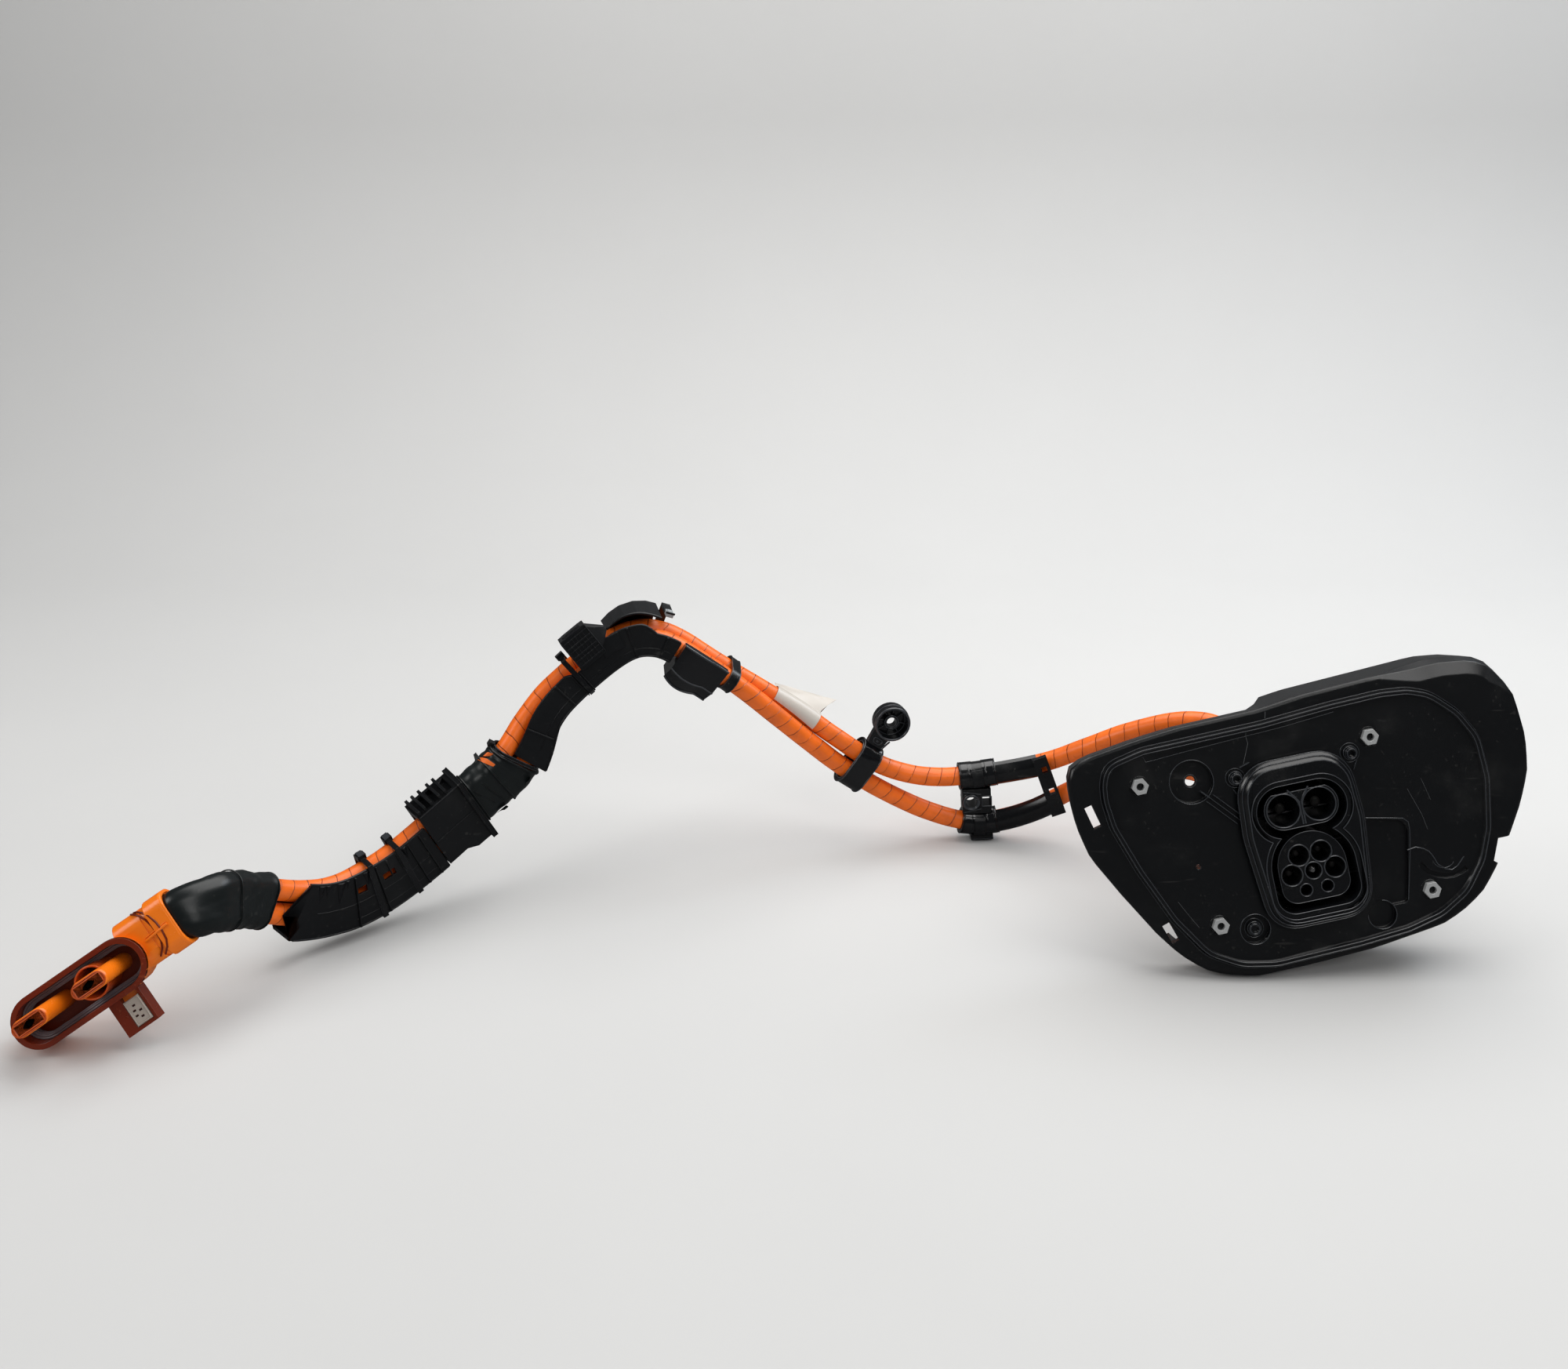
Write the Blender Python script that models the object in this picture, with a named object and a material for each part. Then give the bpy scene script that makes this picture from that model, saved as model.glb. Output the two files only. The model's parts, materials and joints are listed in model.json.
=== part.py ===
"""Charging cable of an electric car: inlet carrier, two high voltage cables, guides and connector.

Lengths inside a piece are millimetres in that piece's own frame. The scene is in metres, +Z up.
"""

import bpy
import bmesh
import numpy as np
from math import cos, pi, radians, sin
from mathutils import Matrix, Vector

MM = 0.001

# Clearance between neighbours, and the play of a sleeve round a cable.
GAP = 0.3
PLAY = 0.8

# Cables.
CABLE = 17.0
CABLE_R = CABLE / 2
CABLE_SAMPLES = 150
GRIP_R = CABLE_R + PLAY

# Inlet carrier.
LEAN = 15.2
ROLL = 12.0
PANEL_Z = -2.0
PANEL_T = 6.5
WALL = 3.0
BORDER_Z = -3.0
RIM_TOP = 1.0
RIM_W = 2.6
SHALLOW, DEEP = -28.0, -58.0
STEP_X = (-14.0, -4.0)
CARRIER_SAMPLES = 96

# Inlet.
INLET_X, INLET_Y = -3.0, 3.5
COLLAR_TOP = 10.0
BODY_TOP = 8.4
BOWL_WALL = 4.0
BOWL_FLOOR = -34.0
BODY_BACK = -38.0
TWIN_TOP, PLUG_TOP = 7.4, 4.0
DC_X, DC_Y, DC_BORE = 14.0, 30.0, 12.6
AC_BORE, PE_BORE, PILOT_BORE = 7.8, 6.2, 4.4
AC_SPOTS = ((-8.7, -6.9), (8.7, -6.9), (-17.0, -21.0), (17.0, -21.0))
PE_SPOT = (0.0, -20.5)
PILOT_SPOTS = ((-8.4, -34.2), (8.4, -34.2))
BORE_FLOOR = -29.0
COVER_BACK = -78.0
GLAND_BACK = -90.0
PIN_TRAVEL = 4.5
LOCK_SPOT = (29.0, -15.0)
LOCK_R = 3.0

# Connector.
SHROUD_L, SHROUD_W = 53.0, 19.0
SHROUD_WALL = 2.5
SHROUD_BACK = -30.0
SHROUD_FLOOR = -23.0
NECK_END = SHROUD_L + 27.5
NECK_W, NECK_H, NECK_Z = 20.4, 12.4, -20.0
NECK_Y = 5.5
CORE_Y = 8.9
CONTACTS = ((-27.0, 2.5), (21.5, 1.0))
CONTACT_TOP = 26.0
LATCH_AT = (24.5, -34.0)
LATCH_W, LATCH_L, LATCH_TOP = 12.5, 20.0, -8.0
LATCH_TRAVEL = 4.0

HOUSING_AT = (0.39199, -0.04289, 0.10309)
CONNECTOR_AT = (-0.5212, -0.15583, 0.04628)

ROUTE_POSITIVE = (
    (-0.4847, -0.1232, 0.0814), (-0.4645, -0.1186, 0.0947), (-0.449, -0.111, 0.096),
    (-0.437, -0.098, 0.097), (-0.429, -0.08, 0.089), (-0.415, -0.054, 0.073),
    (-0.396, -0.032, 0.059), (-0.378, -0.015, 0.053), (-0.36, 0.002, 0.055),
    (-0.336, 0.021, 0.065), (-0.308, 0.043, 0.083), (-0.279, 0.064, 0.103),
    (-0.254, 0.082, 0.124), (-0.237, 0.098, 0.148), (-0.218, 0.111, 0.17),
    (-0.188, 0.125, 0.194), (-0.161, 0.135, 0.21), (-0.141, 0.141, 0.215),
    (-0.122, 0.145, 0.212), (-0.102, 0.149, 0.201), (-0.071, 0.153, 0.178),
    (-0.037, 0.158, 0.154), (-0.003, 0.161, 0.131), (0.03, 0.162, 0.106),
    (0.063, 0.164, 0.082), (0.089, 0.167, 0.069), (0.118, 0.168, 0.063),
    (0.15, 0.17, 0.063), (0.189, 0.168, 0.07), (0.224, 0.164, 0.08),
    (0.255, 0.157, 0.096), (0.289, 0.145, 0.116), (0.324, 0.133, 0.131),
    (0.349, 0.123, 0.136), (0.367, 0.116, 0.132), (0.382, 0.107, 0.124),
    (0.392, 0.094, 0.114), (0.397, 0.077, 0.11), (0.399, 0.054, 0.11),
    (0.399, 0.023, 0.118),
)
ROUTE_NEGATIVE = (
    (-0.4745, -0.1273, 0.0673), (-0.4543, -0.1228, 0.0804), (-0.4424, -0.1158, 0.0802),
    (-0.433, -0.101, 0.078), (-0.427, -0.081, 0.068), (-0.418, -0.057, 0.054),
    (-0.401, -0.035, 0.04), (-0.382, -0.016, 0.033), (-0.362, 0.001, 0.032),
    (-0.339, 0.02, 0.039), (-0.312, 0.041, 0.054), (-0.283, 0.062, 0.074),
    (-0.255, 0.08, 0.093), (-0.239, 0.088, 0.108), (-0.226, 0.091, 0.129),
    (-0.212, 0.095, 0.158), (-0.195, 0.103, 0.177), (-0.166, 0.114, 0.2),
    (-0.145, 0.121, 0.211), (-0.127, 0.125, 0.212), (-0.11, 0.129, 0.205),
    (-0.083, 0.133, 0.186), (-0.051, 0.139, 0.16), (-0.021, 0.145, 0.132),
    (0.008, 0.153, 0.104), (0.038, 0.16, 0.077), (0.072, 0.165, 0.053),
    (0.108, 0.168, 0.033), (0.141, 0.169, 0.021), (0.165, 0.17, 0.018),
    (0.19, 0.168, 0.023), (0.218, 0.165, 0.035), (0.25, 0.159, 0.056),
    (0.283, 0.15, 0.073), (0.313, 0.138, 0.086), (0.338, 0.122, 0.091),
    (0.356, 0.104, 0.093), (0.366, 0.083, 0.097), (0.372, 0.053, 0.104),
    (0.372, 0.022, 0.113),
)

# Where each fitting sits, in millimetres along the negative cable from the connector,
# or along the positive one for the pieces that grip only that.
def following(span, gap, length):
    return (span[1] + gap, span[1] + gap + length)


BOOT = (38.0, 103.0)
LOWER_DUCT = following(BOOT, 30.0, 137.0)
DUCT_BLOCK = following(LOWER_DUCT, 2 * GAP, 45.4)
BAND_1 = following(DUCT_BLOCK, 2.0, 26.0)
BAND_2 = following(BAND_1, 1.5, 24.0)
ARCH_DUCT = following(BAND_2, 7.5, 176.0)
JUNCTION = ARCH_DUCT[0] + 101.0
ARCH_COVER = following((0.0, JUNCTION), 22.0, 34.0)
ARCH_CLIP = ARCH_COVER[1] + 5.5
HOOD = following(ARCH_DUCT, 3.0, 44.0)
TIES = (BAND_2[1] + 4.4, JUNCTION - 19.0, HOOD[1] + 10.0)
LABEL = following(HOOD, 48.0, 46.0)
P_CLIP = LABEL[1] + 67.0
GUIDE_POSITIVE = following((0.0, P_CLIP), 81.0, 34.0)
GUIDE_NEGATIVE = following((0.0, P_CLIP), 113.0, 34.0)
ARM_POSITIVE = following(GUIDE_POSITIVE, -1.0, 40.0)
ARM_NEGATIVE = following(GUIDE_NEGATIVE, -1.0, 58.0)

root = None
cutters = None


def clear_scene():
    for obj in list(bpy.data.objects):
        bpy.data.objects.remove(obj)
    for block in (bpy.data.meshes, bpy.data.curves, bpy.data.materials):
        for item in list(block):
            block.remove(item)


def frame_of(rotation, origin):
    return Matrix.Translation(Vector(origin)) @ rotation.to_4x4()


def housing_frame():
    turn = Matrix.Rotation(radians(90 - LEAN), 3, "X") @ Matrix.Rotation(radians(ROLL), 3, "Z")
    return frame_of(turn, HOUSING_AT)


def connector_frame():
    turn = Matrix.Rotation(radians(12.7), 3, "Z") @ Matrix.Rotation(radians(-32.5), 3, "Y")
    return frame_of(turn @ Matrix.Rotation(radians(90 - 20.2), 3, "X"), CONNECTOR_AT)


def moved(frame, x, y, z):
    return frame @ Matrix.Translation(Vector((x, y, z)) * MM)


def material(name, colour, roughness, metallic=0.0):
    made = bpy.data.materials.new(name)
    made.use_nodes = True
    shader = made.node_tree.nodes["Principled BSDF"]
    shader.inputs["Base Color"].default_value = (*colour, 1.0)
    shader.inputs["Roughness"].default_value = roughness
    shader.inputs["Metallic"].default_value = metallic
    made.diffuse_color = (*colour, 1.0)
    return made


LOOKS = {
    "black": ((0.02, 0.021, 0.024), 0.45, 0.0),
    "duct": ((0.025, 0.026, 0.028), 0.6, 0.0),
    "rubber": ((0.03, 0.04, 0.04), 0.7, 0.0),
    "orange": ((0.87, 0.16, 0.02), 0.5, 0.0),
    "amber": ((0.95, 0.28, 0.02), 0.4, 0.0),
    "steel": ((0.55, 0.56, 0.57), 0.35, 1.0),
    "pale": ((0.75, 0.74, 0.7), 0.6, 0.0),
    "grey": ((0.3, 0.3, 0.32), 0.6, 0.0),
}


def place(name, mesh, frame, look):
    obj = bpy.data.objects.new(name, mesh)
    bpy.context.collection.objects.link(obj)
    obj.parent = root
    obj.matrix_basis = frame
    mesh.materials.append(material(name, *LOOKS[look]))
    return obj


def mesh_of(name, points, faces):
    mesh = bpy.data.meshes.new(name)
    mesh.from_pydata([tuple(c * MM for c in p) for p in points], [], faces)
    work = bmesh.new()
    work.from_mesh(mesh)
    bmesh.ops.recalc_face_normals(work, faces=work.faces)
    work.to_mesh(mesh)
    work.free()
    mesh.shade_smooth()
    mesh.set_sharp_from_angle(angle=radians(38))
    return mesh


def solid(name, shape, frame, look):
    return place(name, mesh_of(name, *shape), frame, look)


def hidden(shape, frame):
    """A body used only by a Boolean of another piece."""
    obj = bpy.data.objects.new("cutter", mesh_of("cutter", *shape))
    cutters.objects.link(obj)
    obj.parent = root
    obj.matrix_basis = frame
    obj.hide_render = True
    obj.display_type = "WIRE"
    return obj


def boolean(obj, shape, frame, operation="DIFFERENCE"):
    step = obj.modifiers.new(operation.lower(), "BOOLEAN")
    step.operation = operation
    step.solver = "EXACT"
    step.object = hidden(shape, frame)


def arc(x, y, r, start, end, n):
    angles = [radians(start + (end - start) * k / n) for k in range(n + 1)]
    return [(x + r * cos(a), y + r * sin(a)) for a in angles]


def circle(x, y, r, n=24):
    return arc(x, y, r, 0, 360 - 360 / n, n - 1)


def hexagon(across):
    return arc(0, 0, across / 3**0.5, 0, 300, 5)


def box_outline(x0, y0, x1, y1):
    return [(x0, y0), (x1, y0), (x1, y1), (x0, y1)]


def obround(half, r, n=8):
    """Outline with its long side along x, half its whole length, end radius r."""
    return arc(half - r, 0, r, -90, 90, n) + arc(r - half, 0, r, 90, 270, n)


def rounded(outline, radius, steps=5):
    """The outline with each corner turned into an arc."""
    made = []
    n = len(outline)
    for k in range(n):
        before, here, after = (np.array(outline[(k + j) % n], float) for j in (-1, 0, 1))
        r = radius[k] if isinstance(radius, (list, tuple)) else radius
        a = (before - here) / np.linalg.norm(before - here)
        b = (after - here) / np.linalg.norm(after - here)
        half = np.arccos(np.clip(a @ b, -1, 1)) / 2
        reach = r / np.tan(half)
        limit = 0.48 * min(np.linalg.norm(before - here), np.linalg.norm(after - here))
        if reach > limit:
            reach = limit
            r = reach * np.tan(half)
        centre = here + (a + b) / np.linalg.norm(a + b) * r / np.sin(half)
        first = here + a * reach - centre
        last = here + b * reach - centre
        start = np.arctan2(first[1], first[0])
        turn = (np.arctan2(last[1], last[0]) - start + pi) % (2 * pi) - pi
        for j in range(steps + 1):
            angle = start + turn * j / steps
            made.append((centre[0] + r * cos(angle), centre[1] + r * sin(angle)))
    return made


def resample(outline, count):
    points = np.array(list(outline) + [outline[0]], float)
    along = np.concatenate([[0], np.cumsum(np.linalg.norm(np.diff(points, axis=0), axis=1))])
    spots = np.linspace(0, along[-1], count, endpoint=False)
    return np.stack([np.interp(spots, along, points[:, k]) for k in range(2)], axis=1)


def offset(outline, distance):
    """The outline moved outwards by the distance at each point, which may be a number or a list."""
    points = np.array(outline, float)
    ahead = np.roll(points, -1, axis=0) - points
    behind = points - np.roll(points, 1, axis=0)
    ahead /= np.linalg.norm(ahead, axis=1)[:, None]
    behind /= np.linalg.norm(behind, axis=1)[:, None]
    tangent = ahead + behind
    tangent /= np.linalg.norm(tangent, axis=1)[:, None]
    normal = np.stack([tangent[:, 1], -tangent[:, 0]], axis=1)
    area = 0.5 * np.sum(points[:, 0] * np.roll(points[:, 1], -1) - np.roll(points[:, 0], -1) * points[:, 1])
    spread = np.broadcast_to(np.array(distance, float), (len(points),))
    return points + normal * np.sign(area) * spread[:, None]


def at_height(outline, z):
    heights = np.broadcast_to(np.array(z, float), (len(outline),))
    return [(float(p[0]), float(p[1]), float(h)) for p, h in zip(outline, heights)]


def loft(loops, ring=False):
    n = len(loops[0])
    points = [tuple(map(float, p)) for loop in loops for p in loop]
    faces = []
    for k in range(len(loops) if ring else len(loops) - 1):
        a = k * n
        b = (k + 1) % len(loops) * n
        for i in range(n):
            j = (i + 1) % n
            faces.append((a + i, a + j, b + j, b + i))
    if not ring:
        faces.append(tuple(range(n))[::-1])
        faces.append(tuple(range((len(loops) - 1) * n, len(loops) * n)))
    return points, faces


def prism(outline, z0, z1):
    return loft([at_height(outline, z0), at_height(outline, z1)])


def band(outer, inner, z0, z1):
    rows = ((outer, z0), (outer, z1), (inner, z1), (inner, z0))
    return loft([at_height(outline, z) for outline, z in rows], True)


def block(x0, y0, z0, x1, y1, z1):
    return prism(box_outline(x0, y0, x1, y1), z0, z1)


def joined(*shapes):
    points, faces = [], []
    for more_points, more_faces in shapes:
        faces += [tuple(i + len(points) for i in face) for face in more_faces]
        points += more_points
    return points, faces


def turned(shape, matrix):
    points, faces = shape
    return [tuple(matrix @ Vector(p)) for p in points], faces


def smooth_route(route, count):
    """Even points on the smooth curve through the route, in metres."""
    fixed = [np.array(p) for p in route]
    fixed = [2 * fixed[0] - fixed[1]] + fixed + [2 * fixed[-1] - fixed[-2]]
    dense = []
    for i in range(1, len(fixed) - 2):
        a, b, c, d = fixed[i - 1 : i + 3]
        for t in np.arange(0, 1, 0.05):
            cubic = (3 * b - a - 3 * c + d) * t**3
            dense.append(0.5 * (2 * b + (c - a) * t + (2 * a - 5 * b + 4 * c - d) * t * t + cubic))
    dense.append(fixed[-2])
    dense = np.array(dense)
    along = np.concatenate([[0], np.cumsum(np.linalg.norm(np.diff(dense, axis=0), axis=1))])
    spots = np.linspace(0, along[-1], count)
    return np.stack([np.interp(spots, along, dense[:, k]) for k in range(3)], axis=1), along[-1]


class Path:
    """A cable's centre line, read by its length in millimetres."""

    def __init__(self, route):
        self.points, length = smooth_route(route, 2400)
        self.length = length / MM

    def at(self, s):
        x = s / self.length * (len(self.points) - 1)
        k = int(min(max(x, 0), len(self.points) - 2))
        return self.points[k] + (self.points[k + 1] - self.points[k]) * (x - k)

    def tangent(self, s):
        step = self.at(s + 3) - self.at(s - 3)
        return step / np.linalg.norm(step)

    def crossing(self, point, tangent):
        """The point of this path in the plane through a point of the other one."""
        away = np.abs((self.points - point) @ tangent) + np.linalg.norm(self.points - point, axis=1)
        return self.points[int(np.argmin(away))]


POSITIVE = Path(ROUTE_POSITIVE)
NEGATIVE = Path(ROUTE_NEGATIVE)
TOWARD_EYE = np.array((0.0, -1.0, 0.0))


def unit(v):
    return v / np.linalg.norm(v)


def pair_station(s, other=POSITIVE, path=NEGATIVE):
    """Origin, tangent, front and up axes, and the cables' spacing; up points at the other cable."""
    origin = path.at(s)
    tangent = path.tangent(s)
    across = other.crossing(origin, tangent) - origin
    across -= tangent * (across @ tangent)
    up = unit(across)
    front = np.cross(tangent, up)
    return origin, tangent, front, up, np.linalg.norm(across) / MM


def depth_station(s, path=NEGATIVE):
    """The same with up away from the arch's inside and front toward the eye."""
    origin = path.at(s)
    tangent = path.tangent(s)
    front = TOWARD_EYE - tangent * (TOWARD_EYE @ tangent)
    front = unit(front)
    return origin, tangent, front, np.cross(front, tangent), 0.0


def section_loop(station, section, shift=None):
    """A section of (front, up) points laid at a station, in millimetres of the world."""
    origin, tangent, front, up, _ = station
    shifts = shift or [0.0] * len(section)
    return [tuple(origin / MM + front * a + up * b + tangent * c) for (a, b), c in zip(section, shifts)]


def facing(station):
    """The station with its front axis on the viewer's side."""
    origin, tangent, front, up, spacing = station
    return (origin, tangent, front if front @ TOWARD_EYE > 0 else -front, up, spacing)


def spread(span, n):
    return [span[0] + (span[1] - span[0]) * k / (n - 1) for k in range(n)]


def pair_ring(r, spacing, n=7):
    """Obround outline round both cables, its first centre at the origin and the second at the spacing."""
    lower = [(r * cos(a), r * sin(a)) for a in np.linspace(pi, 2 * pi, n)]
    upper = [(r * cos(a), spacing + r * sin(a)) for a in np.linspace(0, pi, n)]
    return lower + upper


def pair_sleeve(span, inner, outer, n, swell=None):
    """A sleeve round both cables as one ring of loops."""
    places = spread(span, n)
    stations = [pair_station(s) for s in places]
    grow = swell or [0.0] * n
    outside = [section_loop(st, pair_ring(outer + g, st[4])) for st, g in zip(stations, grow)]
    inside = [section_loop(st, pair_ring(inner, st[4])) for st in stations]
    return loft(outside + inside[::-1], True)


def swept(stations, section, shifts=None):
    rows = shifts or [None] * len(stations)
    return loft([section_loop(st, section, row) for st, row in zip(stations, rows)])


def swept_ring(stations, outer, inner):
    outside = [section_loop(st, outer) for st in stations]
    inside = [section_loop(st, inner) for st in stations]
    return loft(outside + inside[::-1], True)


WORLD = Matrix.Identity(4)

CARRIER_EDGE = (
    (-172.4, 92), (-166.5, 99), (-151.4, 103), (-115.1, 108), (-82.6, 111), (-16, 112), (17.6, 116),
    (104, 119.5), (127.9, 120.5), (156.1, 117), (170.6, 108), (177.4, 92), (180.5, 79.8),
    (182.6, 48.3), (178.9, 22.1), (168.1, -1.9), (154.5, -24.6), (141.6, -43.8), (125.7, -63.1),
    (106.9, -74.7), (89.8, -81.7), (34.4, -88.8), (-19.4, -91.1), (-59.5, -91.4), (-82.6, -85.2),
    (-97.1, -79.6), (-115.4, -62.6), (-129.5, -43.3), (-149.3, -9.6), (-168.6, 26.4),
    (-173.8, 52), (-174.8, 73.5),
)
CARRIER_RIM = (
    (-145.9, 83), (-139.4, 92.9), (-112.2, 98.5), (-18.5, 99.5), (35.8, 103), (76.2, 104),
    (97.5, 102), (114.2, 95.5), (131.8, 77.9), (143, 56.7), (144.3, 24.5), (137.3, -14.2),
    (127.5, -38), (111.5, -58.5), (89, -71.5), (61, -78), (22.6, -81), (-45.1, -83),
    (-70.9, -78), (-93.9, -64.6), (-114.2, -33.4), (-132.4, 8.1), (-145.6, 46), (-147.9, 67.8),
)
COLLAR = ((-44, 69), (44, 69), (47.5, 14), (40, -62), (-40, -62), (-47.5, 14))
COLLAR_RADII = (28, 30, 60, 24, 24, 60)


def mouth(grow=0.0):
    """Two-lobed outline of the inlet's opening, with every edge moved outwards by grow."""
    top, low, corner = 20.0 + grow, 32.6 + grow, 14.0 + grow
    step = np.array((-15.0, -45.5))
    gap = np.linalg.norm(step)
    lean = np.arccos((gap**2 + top**2 - low**2) / (2 * gap * top))
    turn = np.degrees(np.arctan2(step[1], step[0]) + lean)
    meet = (15 + top * cos(radians(turn)), 29 + top * sin(radians(turn)))
    start = np.degrees(np.arctan2(meet[1] + 16.5, meet[0]))
    right = arc(15, 29, top, 90, turn, 13) + arc(0, -16.5, low, start, 0, 8)[1:]
    right += arc(18.6, -35.3, corner, 0, -90, 7)
    left = [(-x, y) for x, y in right[::-1]]
    return right + left


def carrier(frame):
    edge = resample(rounded(CARRIER_EDGE, 40, 3), CARRIER_SAMPLES)
    rim = resample(rounded(CARRIER_RIM, 30, 3), CARRIER_SAMPLES)
    x, y = edge[:, 0], edge[:, 1]
    bulge = np.clip((x - 78) / 30, 0, 1) * np.clip((y - 84) / 18, 0, 1)
    slope = 2.4 + 10.0 * bulge
    back = SHALLOW + (DEEP - SHALLOW) * np.clip((x - STEP_X[0]) / (STEP_X[1] - STEP_X[0]), 0, 1)
    loops = [
        at_height(offset(rim, -RIM_W), PANEL_Z),
        at_height(offset(rim, -RIM_W / 2), RIM_TOP),
        at_height(offset(rim, RIM_W / 2), RIM_TOP),
        at_height(offset(rim, RIM_W), BORDER_Z),
        at_height(offset(edge, -slope), BORDER_Z),
        at_height(offset(edge, -slope * 0.25), BORDER_Z - slope * 0.45),
        at_height(edge, BORDER_Z - slope * 1.2),
        at_height(offset(edge, -3.0), back),
        at_height(offset(edge, -3.0 - WALL), back),
        at_height(offset(edge, -WALL - 0.4), BORDER_Z - slope * 1.2 - PANEL_T * 0.7),
        at_height(offset(edge, -slope - WALL), PANEL_Z - PANEL_T),
    ]
    shell = solid("carrier_shell", loft(loops), frame, "black")
    hole = mouth(BOWL_WALL + 0.6)
    boolean(shell, prism(hole, PANEL_Z - PANEL_T - 5, 4), moved(frame, INLET_X, INLET_Y, 0))
    depth = PANEL_Z - 4.5
    boolean(shell, prism(circle(-79.6, 67.7, 17, 28), depth, 4), frame)
    boolean(shell, prism(circle(-54.7, -54.2, 11.5), depth, 4), frame)
    pocket = rounded(((47, 12), (78.2, 4), (66, -58), (40, -58)), (2, 9, 4, 2), 3)
    boolean(shell, prism(pocket, depth + 1.0, 4), frame)
    boolean(shell, prism(circle(44, -63.5, 11), depth, 4), frame)
    through = PANEL_Z - PANEL_T - 8
    bores = joined(
        prism(circle(-79.6, 67.7, 4, 16), through, 5), prism(circle(-87.8, 2.4, 2, 12), through, 5)
    )
    boolean(shell, bores, frame)
    slots = []
    for x0, y0, x1, y1 in ((-161.8, 65.5, -157.6, 48), (-121.7, -36.2, -116.8, -51.1)):
        along = unit(np.array((x1 - x0, y1 - y0)))
        side = np.array((-along[1], along[0])) * 3.2
        ends = np.array(((x0, y0), (x1, y1)))
        corners = [ends[0] + side, ends[0] - side, ends[1] - side, ends[1] + side]
        slots.append(prism([tuple(c) for c in corners], -32, 6))
    boolean(shell, joined(*slots), frame)
    ledge = ((144.5, -24.5), (137.6, -41.1), (141.1, -43.8), (162, -60), (175, -24.5))
    boolean(shell, prism(ledge, -70, 4), frame)
    curved = arc(103.0, -20.0, 26.5, 205, 300, 7) + arc(103.0, -20.0, 23.0, 300, 205, 7)
    boolean(shell, prism(curved, PANEL_Z - 1.6, 4), frame)
    for k, (nx, ny) in enumerate(((-119.8, 73.1), (62.1, 73.9), (84.8, -51.9), (-81.1, -45.4))):
        nut = band(resample(hexagon(11.6), 24), circle(0, 0, 3.0), PANEL_Z + GAP, PANEL_Z + 4.2)
        solid(f"carrier_nut_{k + 1}", nut, moved(frame, nx, ny, 0), "steel")
    heads = ((-46.0, 63.9, PANEL_Z), (44.9, 64.8, PANEL_Z), (-54.7, -54.2, depth))
    for k, (sx, sy, sz) in enumerate(heads):
        rise = 6.0 if sz == PANEL_Z else 4.0
        loops = [at_height(circle(0, 0, r, 20), z) for r, z in (
            (5.4, sz + GAP), (5.4, sz + 1.6), (4.1, sz + 1.6), (4.1, sz + rise), (2.4, sz + rise),
            (2.4, sz + 2.4))]
        solid(f"inlet_screw_{k + 1}", loft(loops), moved(frame, sx, sy, 0), "black")
    return shell


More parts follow.
